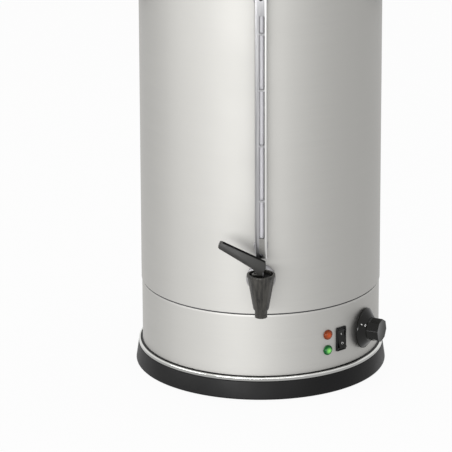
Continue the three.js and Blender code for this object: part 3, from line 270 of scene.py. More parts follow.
screw_count = 6
screw_circle = cover_radius - 3.2 * mm
pan_head = filleted([(1.9 * mm, -2.0 * mm), (3.1 * mm, -1.1 * mm, 0.5 * mm), (3.1 * mm, 0.1 * mm)])
for index in range(screw_count):
    turn = 2 * math.pi * (index + 0.5) / screw_count
    spot = Vector((screw_circle * math.cos(turn), screw_circle * math.sin(turn), 0))
    fit(f"cover_screw_{index + 1}", turned(pan_head, 24), mill_stainless, place=Matrix.Translation(spot))

# Feet: four push-in pads of nitrile rubber under the base, each with a ring groove in its sole. Dark, matt
# and slightly grey from dust.
nitrile, tree = new_finish("nitrile_rubber", "rubber")
where = add(tree, "TexCoord").outputs["Object"]
dust = add(tree, "TexNoise", {"Vector": where, "Scale": 1 / (1.5 * mm), "Detail": 4, "Roughness": 0.7})
tint = add(tree, "MixRGB", {"Fac": dust.outputs["Fac"], "Color1": colour("#1d1d1f"), "Color2": colour("#343436")})
relief = add(tree, "Bump", {"Height": dust.outputs["Fac"], "Strength": 0.3, "Distance": 0.1 * mm})
surface = add(tree, "BsdfPrincipled", {
    "Base Color": tint.outputs["Color"], "Roughness": 0.8, "IOR": 1.52, "Normal": relief.outputs["Normal"]})
add(tree, "OutputMaterial", {"Surface": surface.outputs["BSDF"]})


def middle(node):
    """The mean of a node's corners, which lies on the axis of a piece that is the same all round."""
    corners = [vertex.co for vertex in frame["nodes"][node].data.vertices]
    return sum(corners, Vector()) / len(corners)


foot_stem = 3 * mm
sole_ring = 4.6 * mm
ring_depth = 0.8 * mm
for index in range(1, 5):
    low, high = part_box(f"foot_{index}")
    sole = low.z
    pad_radius = (high.x - low.x) / 2
    centre = middle(f"foot_{index}")
    fit(f"rubber_foot_{index}", turned(filleted([
        (foot_stem, sole + ring_depth, 0.3 * mm),
        (sole_ring, sole + ring_depth, 0.3 * mm),
        (sole_ring, sole, 0.3 * mm),
        (pad_radius - 1.2 * mm, sole, 0.5 * mm),
        (pad_radius, -0.6 * mm, 0.2 * mm),
        (pad_radius, -gap),
        (foot_stem, -gap),
        (foot_stem, high.z - 3 * mm),
        (foot_stem + 1 * mm, high.z - 3 * mm),
        (2.6 * mm, high.z),
    ]), 40), nitrile, stands_for=[f"foot_{index}"], place=Matrix.Translation((centre.x, centre.y, 0)))

# Trim: a rolled and polished stainless bead that covers the joint of base and housing. It is bright, with
# the faint waves of rolling in its reflections. Its rounded top is painted lighter than its face, a painted
# highlight.
bright_stainless, tree = new_finish("bright_stainless", "chrome")
where = add(tree, "TexCoord").outputs["Object"]
waves = add(tree, "TexNoise", {"Vector": where, "Scale": 1 / (14 * mm), "Detail": 1})
wiped = add(tree, "TexNoise", {"Vector": where, "Scale": 1 / (9 * mm), "Detail": 5})
shine = add(tree, "MapRange", {
    "Value": wiped.outputs["Fac"], "From Min": 0.35, "From Max": 0.7, "To Min": 0.09, "To Max": 0.2})
relief = add(tree, "Bump", {"Height": waves.outputs["Fac"], "Strength": 0.12, "Distance": 0.4 * mm})
trim_low, trim_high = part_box("trim_ring")
height = add(tree, "SeparateXYZ", {0: where}).outputs["Z"]
# The top of the bead is painted lighter than its face below: a painted highlight.
painted_top_highlight = add(tree, "MapRange", {
    "Value": height, "From Min": trim_high.z - 1.9 * mm, "From Max": trim_high.z - 1.3 * mm})
tint = add(tree, "MixRGB", {
    "Fac": painted_top_highlight.outputs["Result"], "Color1": colour("#a5a5a3"), "Color2": colour("#d2d2cf")})
surface = add(tree, "BsdfPrincipled", {
    "Base Color": tint.outputs["Color"], "Metallic": 1, "Roughness": shine.outputs["Result"],
    "Normal": relief.outputs["Normal"]})
add(tree, "OutputMaterial", {"Surface": surface.outputs["BSDF"]})

trim_width = 2.2 * mm
fit("trim_bead", turned(filleted([
    (trim_high.x - trim_width, trim_low.z, 0.2 * mm),
    (trim_high.x, trim_low.z, 0.4 * mm),
    (trim_high.x, trim_high.z, 1.6 * mm),
    (trim_high.x - trim_width, trim_high.z, 0.5 * mm),
], 6), drum_sides, loop=True), bright_stainless, stands_for=["trim_ring"])

# Trim groove shade: a black strip in the groove between the bead and the housing, put where the groove
# lies in shade. It is painted shade, a dark line over the bead that rises a little up the housing.
housing_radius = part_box("base_shell")[1].x
trim_shade_rise = 0.9 * mm
fit("trim_shade_strip", turned(filleted([
    (housing_radius + 0.05 * mm, trim_low.z + 0.5 * mm),
    (trim_high.x - trim_width, trim_low.z + 0.5 * mm),
    (trim_high.x - trim_width, trim_high.z - trim_shade_rise, 0.3 * mm),
    (housing_radius + 0.05 * mm, trim_high.z + trim_shade_rise),
]), drum_sides, loop=True), moulded_abs)

# Lower housing: stainless sheet rolled into a drum and joggled in at its top, where the jacket slips over
# it. Its face is brushed round the drum with a 180 grit belt, and the joggle's bend carries a painted highlight.
brush_line = 1.1 * mm
brushed_round, tree = new_finish("stainless_brushed_round", "brushed_stainless")
where = add(tree, "TexCoord").outputs["Object"]
# The belt's scratches are 0.1 mm apart and a few centimetres long; here they are drawn 1.1 mm apart.
scratches = add(tree, "TexNoise", {
    "Vector": add(tree, "Mapping", {"Vector": where, "Scale": (9, 9, 1 / brush_line)}).outputs["Vector"],
    "Scale": 1, "Detail": 4, "Roughness": 0.7})
# The bend under the jacket's edge is smoother than the brushed wall and painted lighter, a painted highlight.
jacket_low, jacket_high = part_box("jacket")
seam = jacket_low.z - 1.9 * mm
bend_foot = seam - 2.4 * mm
height = add(tree, "SeparateXYZ", {0: where}).outputs["Z"]
on_bend = add(tree, "MapRange", {
    "Value": height, "From Min": bend_foot - 0.2 * mm, "From Max": bend_foot + 0.2 * mm})
on_housing = add(tree, "Math", {0: height, 1: seam + 0.8 * mm}, operation="LESS_THAN")
rubbed = add(tree, "Math", {0: on_bend.outputs["Result"], 1: on_housing.outputs["Value"]}, operation="MULTIPLY")
cloud = add(tree, "TexNoise", {"Vector": where, "Scale": 1 / (70 * mm), "Detail": 3})
tint = add(tree, "MixRGB", {
    "Fac": scratches.outputs["Fac"], "Color1": colour("#a3a29f"), "Color2": colour("#adaca9")})
shine = add(tree, "MapRange", {
    "Value": scratches.outputs["Fac"], "From Min": 0.3, "From Max": 0.7, "To Min": 0.53, "To Max": 0.59})
spread = add(tree, "MapRange", {
    "Value": cloud.outputs["Fac"], "From Min": 0.3, "From Max": 0.7, "To Min": -0.02, "To Max": 0.02})
rough = add(tree, "Math", {0: shine.outputs["Result"], 1: spread.outputs["Result"]}, operation="ADD")
polish = add(tree, "MixRGB", {
    "Fac": rubbed.outputs["Value"], "Color1": rough.outputs["Value"], "Color2": (0.5, 0.5, 0.5, 1)})
relief = add(tree, "Bump", {"Height": scratches.outputs["Fac"], "Strength": 0.08, "Distance": 0.05 * mm})
# The bend's colour is painted at the light end of the wall's: a painted highlight line.
bend_highlight_tint = add(tree, "MixRGB", {
    "Fac": rubbed.outputs["Value"], "Color1": tint.outputs["Color"], "Color2": colour("#adaca9")})
surface = add(tree, "BsdfPrincipled", {
    "Base Color": bend_highlight_tint.outputs["Color"], "Metallic": 1, "Roughness": polish.outputs["Color"],
    "Normal": relief.outputs["Normal"]})
add(tree, "OutputMaterial", {"Surface": surface.outputs["BSDF"]})

jacket_radius = jacket_high.x
sheet = 1 * mm
housing_low, housing_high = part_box("base_shell")
spigot_radius = jacket_radius - sheet - slip
fit("housing", turned(filleted([
    (housing_radius - sheet, housing_low.z),
    (housing_radius, housing_low.z),
    (housing_radius, bend_foot, 0.8 * mm),
    (housing_radius - 0.12 * mm, seam - 0.2 * mm, 0.15 * mm),
    (spigot_radius, seam, 0.1 * mm),
    (spigot_radius, housing_high.z),
    (spigot_radius - sheet, housing_high.z),
    (spigot_radius - sheet, seam - sheet, 0.2 * mm),
    (housing_radius - sheet, seam - 2 * sheet, 0.2 * mm),
], 6), drum_sides, loop=True), brushed_round, stands_for=["base_shell"])

# Seam shade: a thin black strip of nitrile laid in the joint's groove, where the gap under the jacket's edge
# lies in shade. It is painted shade, a dark line under the jacket's edge.
seam_shade_radius = housing_radius - 0.4 * mm
seam_shade_foot = seam + 0.1 * mm
seam_shade_top = jacket_low.z - 0.05 * mm
fit("seam_shade_strip", turned([
    (spigot_radius + 0.05 * mm, seam_shade_foot),
    (seam_shade_radius, seam_shade_foot),
    (seam_shade_radius, seam_shade_top),
    (spigot_radius + 0.05 * mm, seam_shade_top),
], drum_sides, loop=True), nitrile)

# Jacket: one sheet of the same stainless, rolled, butt welded at the back and planished flat. The weld
# stays visible as a narrow stripe, a little brighter than the brushed sheet.
cut_edge = 0.15 * mm
fit("jacket_drum", turned([
    (jacket_radius - sheet, jacket_low.z),
    (jacket_radius - cut_edge, jacket_low.z),
    (jacket_radius, jacket_low.z + cut_edge),
    (jacket_radius, jacket_high.z),
    (jacket_radius - sheet, jacket_high.z),
], drum_sides, loop=True), brushed_round, stands_for=["jacket"])

# The planishing roller leaves flats 3 mm wide and half as long.
planished, tree = new_finish("planished_weld", "brushed_stainless")
where = add(tree, "TexCoord").outputs["Object"]
beads = add(tree, "TexNoise", {
    "Vector": add(tree, "Mapping", {"Vector": where, "Scale": (0.3 / mm, 0.3 / mm, 0.6 / mm)}).outputs["Vector"],
    "Scale": 1, "Detail": 2})
tint = add(tree, "MixRGB", {"Fac": beads.outputs["Fac"], "Color1": colour("#a9a9a8"), "Color2": colour("#bcbab2")})
relief = add(tree, "Bump", {"Height": beads.outputs["Fac"], "Strength": 0.3, "Distance": 0.05 * mm})
surface = add(tree, "BsdfPrincipled", {
    "Base Color": tint.outputs["Color"], "Metallic": 1, "Roughness": 0.36, "Normal": relief.outputs["Normal"]})
add(tree, "OutputMaterial", {"Surface": surface.outputs["BSDF"]})
weld_half = 1.2 * mm
weld_rise = 0.1 * mm
for name, radius, foot, head in (
        ("jacket_weld", jacket_radius, jacket_low.z + 0.5 * mm, jacket_high.z - 4.2 * mm),
        ("housing_weld", housing_radius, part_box("trim_ring")[1].z - 4 * mm, seam - 1.2 * mm)):
    section = [(-weld_half, radius - weld_rise), (-weld_half * 0.6, radius + weld_rise),
               (weld_half * 0.6, radius + weld_rise), (weld_half, radius - weld_rise)]
    fit(name, lofted([[(x, y, height) for x, y in section] for height in (foot, head)]), planished)

# Tank: a deep drawn stainless bowl with a welded floor, hung in the jacket by its rolled rim. It keeps the
# mill finish of its sheet, like the base cover.
tank_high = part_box("tank")[1]
rim_top = tank_high.z
lip = tank_high.x
lip_foot = jacket_high.z + gap - 4 * mm
air_gap = 7 * mm
tank_outer = jacket_radius - sheet - air_gap
tank_inner = tank_outer - sheet
tank_floor = 131 * mm
tank_corner = 4 * mm
fit("tank_bowl", turned(filleted([
    (2 * mm, tank_floor - sheet),
    (tank_outer, tank_floor - sheet, tank_corner),
    (tank_outer, rim_top - sheet, 3.4 * mm),
    (lip - sheet, rim_top - sheet, 3.4 * mm),
    (lip - sheet, lip_foot),
    (lip, lip_foot),
    (lip, rim_top, 4 * mm),
    (tank_inner, rim_top, 4 * mm),
    (tank_inner, tank_floor, tank_corner - sheet),
    (2 * mm, tank_floor),
], 8), drum_sides), mill_stainless, stands_for=["tank"])

# Heater: a cast aluminium plate, a ring element in a dull stainless sheath and a bar that clamps it under
# the tank, with a ceramic cut-out and the thermostat's bulb beside it.
# The sand of the mould leaves a grey, dimpled face.
cast_aluminium, tree = new_finish("cast_aluminium", "aluminium")
where = add(tree, "TexCoord").outputs["Object"]
sand = add(tree, "TexNoise", {"Vector": where, "Scale": 1 / (1.2 * mm), "Detail": 3})
tint = add(tree, "MixRGB", {"Fac": sand.outputs["Fac"], "Color1": colour("#b3b4b6"), "Color2": colour("#c9cacc")})
relief = add(tree, "Bump", {"Height": sand.outputs["Fac"], "Strength": 0.4, "Distance": 0.15 * mm})
surface = add(tree, "BsdfPrincipled", {
    "Base Color": tint.outputs["Color"], "Metallic": 1, "Roughness": 0.5, "Normal": relief.outputs["Normal"]})
add(tree, "OutputMaterial", {"Surface": surface.outputs["BSDF"]})
dress(frame["nodes"]["heat_plate"], cast_aluminium)

# Steatite is a cream ceramic, fired without a glaze: dull, with a fine speckle.
steatite, tree = new_finish("steatite_ceramic", "steatite")
where = add(tree, "TexCoord").outputs["Object"]
speckle = add(tree, "TexNoise", {"Vector": where, "Scale": 1 / (0.8 * mm), "Detail": 2})
tint = add(tree, "MixRGB", {"Fac": speckle.outputs["Fac"], "Color1": colour("#ded7c6"), "Color2": colour("#eae5d8")})
surface = add(tree, "BsdfPrincipled", {"Base Color": tint.outputs["Color"], "Roughness": 0.65, "IOR": 1.6})
add(tree, "OutputMaterial", {"Surface": surface.outputs["BSDF"]})
dress(frame["nodes"]["limiter"], steatite)
dress(frame["nodes"]["terminal_block"], steatite)

# Steel beside the heater tans brown in patches.
sheath, tree = new_finish("heated_stainless", "plain_stainless")
where = add(tree, "TexCoord").outputs["Object"]
scale = add(tree, "TexNoise", {"Vector": where, "Scale": 1 / (8 * mm), "Detail": 5})
tint = add(tree, "MixRGB", {"Fac": scale.outputs["Fac"], "Color1": colour("#5f564c"), "Color2": colour("#8f8b84")})
surface = add(tree, "BsdfPrincipled", {"Base Color": tint.outputs["Color"], "Metallic": 1, "Roughness": 0.5})
add(tree, "OutputMaterial", {"Surface": surface.outputs["BSDF"]})
for node in ("heating_element", "clamp_bar", "clamp_nut", "capillary_tube"):
    dress(frame["nodes"][node], sheath)

# Tap shank: a chromed brass pipe through both walls, with a domed collar against the jacket, and a
# silicone seal and stainless nut inside the tank. Limescale and use have dulled the plating to soft, broad
# reflections, patchy where it was wiped.
chrome, tree = new_finish("chrome_plate", "chrome")
where = add(tree, "TexCoord").outputs["Object"]
wiped = add(tree, "TexNoise", {"Vector": where, "Scale": 1 / (6 * mm), "Detail": 5})
shine = add(tree, "MapRange", {
    "Value": wiped.outputs["Fac"], "From Min": 0.35, "From Max": 0.7, "To Min": 0.38, "To Max": 0.48})
surface = add(tree, "BsdfPrincipled", {
    "Base Color": colour("#8f8e90"), "Metallic": 1, "Roughness": shine.outputs["Result"]})
add(tree, "OutputMaterial", {"Surface": surface.outputs["BSDF"]})

# Food-grade silicone, pressed in a mould: off-white and dull, and light goes a little way into it.
silicone, tree = new_finish("white_silicone", "silicone")
where = add(tree, "TexCoord").outputs["Object"]
bloom = add(tree, "TexNoise", {"Vector": where, "Scale": 1 / (5 * mm), "Detail": 3})
tint = add(tree, "MixRGB", {"Fac": bloom.outputs["Fac"], "Color1": colour("#d5d1c8"), "Color2": colour("#e6e3dc")})
surface = add(tree, "BsdfPrincipled", {
    "Base Color": tint.outputs["Color"], "Roughness": 0.55, "IOR": 1.43, "Subsurface Weight": 0.2})
add(tree, "OutputMaterial", {"Surface": surface.outputs["BSDF"]})


def wall_place(out, height):
    """A piece on the wall: x runs along the wall, y up and z out, from the urn's axis at that height."""
    level = Vector((out.x, out.y, 0)).normalized()
    along = Vector((0, 0, 1)).cross(level)
    axes = Matrix((along, Vector((0, 0, 1)), level)).transposed().to_4x4()
    return Matrix.Translation((0, 0, height)) @ axes


front = Vector((0, -1, 0))
shank_wall = 3 * mm
shank_low, shank_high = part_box("tap_shank")
shank_height = (shank_low.z + shank_high.z) / 2
shank_radius = shank_high.x
shank_place = wall_place(front, shank_height)
fit("shank_pipe", turned(filleted([
    (shank_radius - shank_wall, -shank_high.y),
    (shank_radius, -shank_high.y, 0.4 * mm),
    (shank_radius, -shank_low.y),
    (shank_radius - shank_wall, -shank_low.y),
]), 48, loop=True), chrome, stands_for=["tap_shank"], place=shank_place)
collar_low, collar_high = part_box("shank_collar")
collar_radius = collar_high.x
collar_face = -collar_low.y
collar_foot = jacket_radius - 1.5 * mm
fit("collar_dome", turned(filleted([
    (shank_radius + slip, collar_foot),
    (collar_radius, collar_foot),
    (collar_radius, collar_face - 2.2 * mm, 0.8 * mm),
    (collar_radius - 3 * mm, collar_face, 2 * mm),
    (shank_radius + slip, collar_face, 0.5 * mm),
], 6), 72, loop=True), chrome, stands_for=["shank_collar"], place=shank_place)
dress(frame["nodes"]["shank_seal"], silicone)
dress(frame["nodes"]["shank_nut"], mill_stainless)

# Tap body: a polished black moulding in heat-proof acetal. A funnel with a grooved tip, a plain band under
# its rim and a boss at the back that screws on to the shank; its mouth holds the valve's bonnet. The flow
# of the plastic shows as faint upright streaks, 4.5 mm wide.
polished_black, tree = new_finish("polished_acetal", "gloss_black")
where = add(tree, "TexCoord").outputs["Object"]
flow = add(tree, "TexNoise", {
    "Vector": add(tree, "Mapping", {"Vector": where, "Scale": (0.22 / mm, 0.22 / mm, 0.018 / mm)}).outputs["Vector"],
    "Scale": 1, "Detail": 3, "Roughness": 0.6})
wiped = add(tree, "TexNoise", {"Vector": where, "Scale": 1 / (7 * mm), "Detail": 5})
shine = add(tree, "MapRange", {
    "Value": wiped.outputs["Fac"], "From Min": 0.35, "From Max": 0.7, "To Min": 0.16, "To Max": 0.27})
streaks = add(tree, "MapRange", {"Value": flow.outputs["Fac"], "From Min": 0.35, "From Max": 0.65})
tint = add(tree, "MixRGB", {
    "Fac": streaks.outputs["Result"], "Color1": colour("#161513"), "Color2": colour("#3b3935")})
relief = add(tree, "Bump", {"Height": flow.outputs["Fac"], "Strength": 0.1, "Distance": 0.1 * mm})
surface = add(tree, "BsdfPrincipled", {
    "Base Color": tint.outputs["Color"], "Roughness": shine.outputs["Result"], "IOR": 1.48,
    "Specular IOR Level": 0.36, "Normal": relief.outputs["Normal"]})
add(tree, "OutputMaterial", {"Surface": surface.outputs["BSDF"]})


def carve(piece, tool, operation="DIFFERENCE"):
    """Cuts the tool's bmesh out of a piece, or joins it on."""
    bmesh.ops.recalc_face_normals(tool, faces=tool.faces)
    data = bpy.data.meshes.new("tool")
    tool.to_mesh(data)
    tool.free()
    cutter = bpy.data.objects.new("tool", data)
    bpy.context.scene.collection.objects.link(cutter)
    modifier = piece.modifiers.new("carve", "BOOLEAN")
    modifier.operation = operation
    modifier.solver = "EXACT"
    modifier.object = cutter
    bpy.context.view_layer.update()
    shaped = bpy.data.meshes.new_from_object(piece.evaluated_get(bpy.context.evaluated_depsgraph_get()))
    piece.modifiers.remove(modifier)
    old = piece.data
    piece.data = shaped
    bpy.data.meshes.remove(old)
    bpy.data.objects.remove(cutter)
    bpy.data.meshes.remove(data)
    dress(piece, piece.data.materials[0])


def moved(mesh, place):
    """The bmesh, moved or turned."""
    bmesh.ops.transform(mesh, matrix=place, verts=mesh.verts)
    return mesh


tap_low, tap_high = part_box("tap_body")
tap_axis = middle("thrust_washer")
tap_place = Matrix.Translation((tap_axis.x, tap_axis.y, 0))
tip = tap_low.z
rim = tap_high.z + 1.8 * mm
rim_radius = tap_high.x
tip_top = tip + 9.8 * mm
bonnet_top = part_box("tap_bonnet")[1].z
bonnet_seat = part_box("tap_bonnet")[0].z - gap
band = 3.6 * mm
spout_radius = 7.7 * mm
groove_foot = tip + 4.1 * mm
groove_top = tip + 5.7 * mm
mouth_radius = 14.6 * mm
bore = 4.6 * mm
funnel = fit("tap_funnel", turned(filleted([
    (0.5 * mm, tip),
    (spout_radius, tip, 0.4 * mm),
    (spout_radius, groove_foot, 0.2 * mm),
    (spout_radius - 0.7 * mm, groove_foot, 0.2 * mm),
    (spout_radius - 0.7 * mm, groove_top, 0.2 * mm),
    (spout_radius, groove_top, 0.2 * mm),
    (spout_radius, tip_top, 0.3 * mm),
    (9 * mm, tip_top, 0.3 * mm),
    (9.7 * mm, tip_top + 2.2 * mm, 0.7 * mm),
    (rim_radius - 0.7 * mm, rim - band, 0.2 * mm),
    (rim_radius, rim - band + 0.35 * mm, 0.2 * mm),
    (rim_radius, rim, 0.7 * mm),
    (mouth_radius, rim, 0.4 * mm),
    (mouth_radius, bonnet_seat, 0.2 * mm),
    (11.2 * mm, bonnet_seat, 0.3 * mm),
    (7.8 * mm, tip + 18.2 * mm, 0.5 * mm),
    (bore, tip + 15 * mm, 0.5 * mm),
    (bore, tip, 0.3 * mm),
], 4)[1:], 72, loop=True), polished_black, stands_for=["tap_body"], place=tap_place)
boss_radius = 10.8 * mm
boss_back = -tap_high.y
boss_inner = -tap_axis.y - 11.2 * mm
carve(funnel, moved(turned(filleted([
    (shank_radius + slip, boss_back, 0.3 * mm),
    (boss_radius, boss_back, 0.8 * mm),
    (boss_radius, boss_inner),
    (shank_radius + slip, boss_inner),
]), 64, loop=True), shank_place), "UNION")

# Valve: a moulded bonnet and thrust washer in the mouth of the tap. Through them goes the chromed stem that
# the lever lifts, with a silicone seat cup at its foot and a coil spring round it. The spring's wire keeps
# the grey skin of its drawing, darker in places.
spring_steel, tree = new_finish("bare_spring_steel", "spring_steel")
where = add(tree, "TexCoord").outputs["Object"]
drawn = add(tree, "TexNoise", {"Vector": where, "Scale": 1 / (1.5 * mm), "Detail": 3})
tint = add(tree, "MixRGB", {"Fac": drawn.outputs["Fac"], "Color1": colour("#6d6c69"), "Color2": colour("#8b8a87")})
surface = add(tree, "BsdfPrincipled", {"Base Color": tint.outputs["Color"], "Metallic": 1, "Roughness": 0.32})
add(tree, "OutputMaterial", {"Surface": surface.outputs["BSDF"]})
dress(frame["nodes"]["seat_cup"], silicone)
dress(frame["nodes"]["tap_stem"], chrome)
# The spring is drawn at rest and has a mesh of its own.
joints = {joint["name"]: joint for joint in frame["joints"]}
spring_low, spring_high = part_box("stem_spring")
spring_rise = spring_high.z - spring_low.z
wire_radius = 0.65 * mm
coil_radius = spring_high.x - wire_radius
coil_turns = 5
coil_steps = 28 * coil_turns
wire_sides = 10
coils = []
for step in range(coil_steps + 1):
    turn = 2 * math.pi * coil_turns * step / coil_steps
    height = spring_low.z + wire_radius + (spring_rise - 2 * wire_radius) * step / coil_steps
    coils.append([
        ((coil_radius + wire_radius * math.cos(side)) * math.cos(turn),
         (coil_radius + wire_radius * math.cos(side)) * math.sin(turn), height + wire_radius * math.sin(side))
        for side in (2 * math.pi * index / wire_sides for index in range(wire_sides))])
spring = fit("spring_coil", lofted(coils), spring_steel, "valve", ["stem_spring"], tap_place, 60)
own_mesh(spring)
stem_clear = 3.35 * mm
dish = 0.8 * mm
fit("bonnet_disc", turned(filleted([
    (stem_clear, bonnet_seat + gap),
    (mouth_radius - slip, bonnet_seat + gap),
    (mouth_radius - slip, bonnet_top, 0.5 * mm),
    (8.5 * mm, bonnet_top, 0.3 * mm),
    (8 * mm, bonnet_top - dish, 0.2 * mm),
    (stem_clear, bonnet_top - dish, 0.2 * mm),
]), 64, loop=True), moulded_abs, stands_for=["tap_bonnet"], place=tap_place)
washer_low, washer_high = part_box("thrust_washer")
washer_radius = washer_high.x
fit("washer_disc", turned(filleted([
    (stem_clear, washer_low.z, 0.2 * mm),
    (washer_radius, washer_low.z, 0.3 * mm),
    (washer_radius, washer_high.z, 0.5 * mm),
    (stem_clear, washer_high.z, 0.3 * mm),
]), 64, loop=True), moulded_abs, "swivel", ["thrust_washer"], tap_place)

# Tap lever: injection moulded in glass-filled nylon, satin black and greyer where the glass shows. Its
# forked head rocks on a pin through the stem, and its heel bears on the washer.
filled_nylon, tree = new_finish("glass_filled_nylon", "black_plastic")
where = add(tree, "TexCoord").outputs["Object"]
# The glass strands are 0.01 mm across; here they are drawn as flecks 0.5 to 1.4 mm wide.
flecks = add(tree, "TexNoise", {
    "Vector": add(tree, "Mapping", {"Vector": where, "Scale": (0.7 / mm, 2 / mm, 1.2 / mm)}).outputs["Vector"],
    "Scale": 1, "Detail": 3, "Roughness": 0.7})
rubbed = add(tree, "TexNoise", {"Vector": where, "Scale": 1 / (12 * mm), "Detail": 4})
tint = add(tree, "MixRGB", {"Fac": flecks.outputs["Fac"], "Color1": colour("#0e0e0d"), "Color2": colour("#2c2b28")})
shine = add(tree, "MapRange", {
    "Value": rubbed.outputs["Fac"], "From Min": 0.3, "From Max": 0.7, "To Min": 0.32, "To Max": 0.48})
relief = add(tree, "Bump", {"Height": flecks.outputs["Fac"], "Strength": 0.15, "Distance": 0.06 * mm})
surface = add(tree, "BsdfPrincipled", {
    "Base Color": tint.outputs["Color"], "Roughness": shine.outputs["Result"], "IOR": 1.53,
    "Specular IOR Level": 0.3, "Normal": relief.outputs["Normal"]})
add(tree, "OutputMaterial", {"Surface": surface.outputs["BSDF"]})

lever_axis = middle("lever_pin")
lever_half = 4 * mm
lever_round = 0.9 * mm
rise = math.radians(26)
heel_height = lever_axis.z - washer_high.z - gap
heel_throw = 5.8 * mm
full_throw = math.radians(25)


def on_lever(distance, above):
    """A point of the lever's side, by its distance from the pin along the grip and its height above it."""
    return (above * math.sin(rise) - distance * math.cos(rise), above * math.cos(rise) + distance * math.sin(rise))


heel = []
for step in range(9):
    turn = full_throw * step / 8
    drop = heel_height + heel_throw * turn
    heel.append((-drop * math.sin(turn) - heel_throw * math.cos(turn),
                 -drop * math.cos(turn) + heel_throw * math.sin(turn)))
toe = heel[-1]
nose = 5.8 * mm
grip_top = 9.3 * mm
grip_root = 5.4 * mm
grip_tip = 8 * mm
grip_length = -(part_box("tap_lever")[0].x - lever_axis.x) / math.cos(rise) + grip_top * math.tan(rise) - 0.7 * mm
heel_waist = 5 * mm
side = filleted([
    (1.9 * mm, -heel_height, 1.4 * mm),
    (1.9 * mm, -grip_root, 1.0 * mm),
    (nose, 0.6 * mm, 1.0 * mm),
    (nose, (grip_top - nose * math.sin(rise)) / math.cos(rise), 1.4 * mm),
    (*on_lever(grip_length, grip_top), 1.6 * mm),
    (*on_lever(grip_length, grip_top - grip_tip), 2.4 * mm),
    (*on_lever(heel_waist + 6 * mm, -grip_root + 1.2 * mm), 3 * mm),
    (-heel_waist, -grip_root, 0.7 * mm),
    (-heel_waist, toe[1] + 3 * mm, 0.4 * mm),
    (toe[0], toe[1] + 1.6 * mm, 0.5 * mm),
    *reversed(heel),
])
mesh = lofted([[(x, y, z) for x, z in side] for y in (-lever_half, lever_half)])
rims = [edge for edge in mesh.edges if abs(edge.verts[0].co.y - edge.verts[1].co.y) < 0.1 * mm]
bmesh.ops.bevel(mesh, geom=rims, offset=lever_round, segments=4, profile=0.5, affect="EDGES", clamp_overlap=True)
lever = fit("lever_moulding", mesh, filled_nylon, "lever", ["tap_lever"], Matrix.Translation(lever_axis), 40)
fork_rear = (heel_height + heel_throw * full_throw) * math.sin(full_throw) + 3 * mm
fork_roof = 4.6 * mm
fork_half = 1.85 * mm
carve(lever, moved(lofted([
    [(-fork_rear, -fork_half, z), (nose + 6 * mm, -fork_half, z), (nose + 6 * mm, fork_half, z),
     (-fork_rear, fork_half, z)] for z in (-heel_height - 6 * mm, fork_roof)]), Matrix.Translation(lever_axis)))

# Thumb pad: a black strip of soft rubber moulded into the top of the grip. It is quite dull, with open pores,
# and doesn't slip when it is wet.
soft_rubber, tree = new_finish("soft_touch_rubber", "rubber")
where = add(tree, "TexCoord").outputs["Object"]
pores = add(tree, "TexNoise", {"Vector": where, "Scale": 1 / (0.8 * mm), "Detail": 3})
tint = add(tree, "MixRGB", {"Fac": pores.outputs["Fac"], "Color1": colour("#080808"), "Color2": colour("#101010")})
relief = add(tree, "Bump", {"Height": pores.outputs["Fac"], "Strength": 0.3, "Distance": 0.08 * mm})
surface = add(tree, "BsdfPrincipled", {
    "Base Color": tint.outputs["Color"], "Roughness": 0.9, "Specular IOR Level": 0.1,
    "Normal": relief.outputs["Normal"]})
add(tree, "OutputMaterial", {"Surface": surface.outputs["BSDF"]})
pad_half = lever_half - 0.6 * mm
pad_low = grip_top - 0.4 * mm
pad_high = grip_top + 0.25 * mm
pad_section = [on_lever(along, above) for along, above in (
    (-1 * mm, pad_low), (grip_length - 3 * mm, pad_low), (grip_length - 3.2 * mm, pad_high), (-0.8 * mm, pad_high))]
fit("thumb_pad", lofted([[(x, y, z) for x, z in pad_section] for y in (-pad_half, pad_half)]),
    soft_rubber, "lever", place=Matrix.Translation(lever_axis))

# Pivot pin: a length of drawn steel rod, pressed through the end of the stem so that the lever rocks on it.
# It is blackened in hot oxide, which leaves it dark and half bright.
blackened, tree = new_finish("blackened_steel", "chrome")
where = add(tree, "TexCoord").outputs["Object"]
oxide = add(tree, "TexNoise", {"Vector": where, "Scale": 1 / mm, "Detail": 3})
tint = add(tree, "MixRGB", {"Fac": oxide.outputs["Fac"], "Color1": colour("#2a2a2b"), "Color2": colour("#434344")})
surface = add(tree, "BsdfPrincipled", {"Base Color": tint.outputs["Color"], "Metallic": 1, "Roughness": 0.35})
add(tree, "OutputMaterial", {"Surface": surface.outputs["BSDF"]})
pin_low, pin_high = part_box("lever_pin")
pin_radius = (pin_high.x - pin_low.x) / 2
fit("pivot_pin", moved(turned(filleted([
    (0.5 * mm, pin_low.y), (pin_radius, pin_low.y, 0.2 * mm), (pin_radius, pin_high.y, 0.2 * mm),
    (0.5 * mm, pin_high.y)]), 32),
    Matrix.Translation((lever_axis.x, 0, lever_axis.z)) @ Matrix.Rotation(-math.pi / 2, 4, "X")),
    blackened, "valve", ["lever_pin"])

# Sight gauge: a borosilicate tube, held with rubber rings in two chromed elbows that go through both walls.
# The glass shows as a pale, half-clear rod, with draw lines 2 mm apart.
borosilicate, tree = new_finish("borosilicate_tube", "glass")
where = add(tree, "TexCoord").outputs["Object"]
drawn = add(tree, "TexNoise", {
    "Vector": add(tree, "Mapping", {"Vector": where, "Scale": (0.5 / mm, 0.5 / mm, 0.012 / mm)}).outputs["Vector"],
    "Scale": 1, "Detail": 1})
relief = add(tree, "Bump", {"Height": drawn.outputs["Fac"], "Strength": 0.05, "Distance": 0.05 * mm})
surface = add(tree, "BsdfPrincipled", {
    "Base Color": colour("#dbdade"), "Roughness": 0.08, "IOR": 1.47, "Transmission Weight": 0.3,
    "Normal": relief.outputs["Normal"]})
add(tree, "OutputMaterial", {"Surface": surface.outputs["BSDF"]})

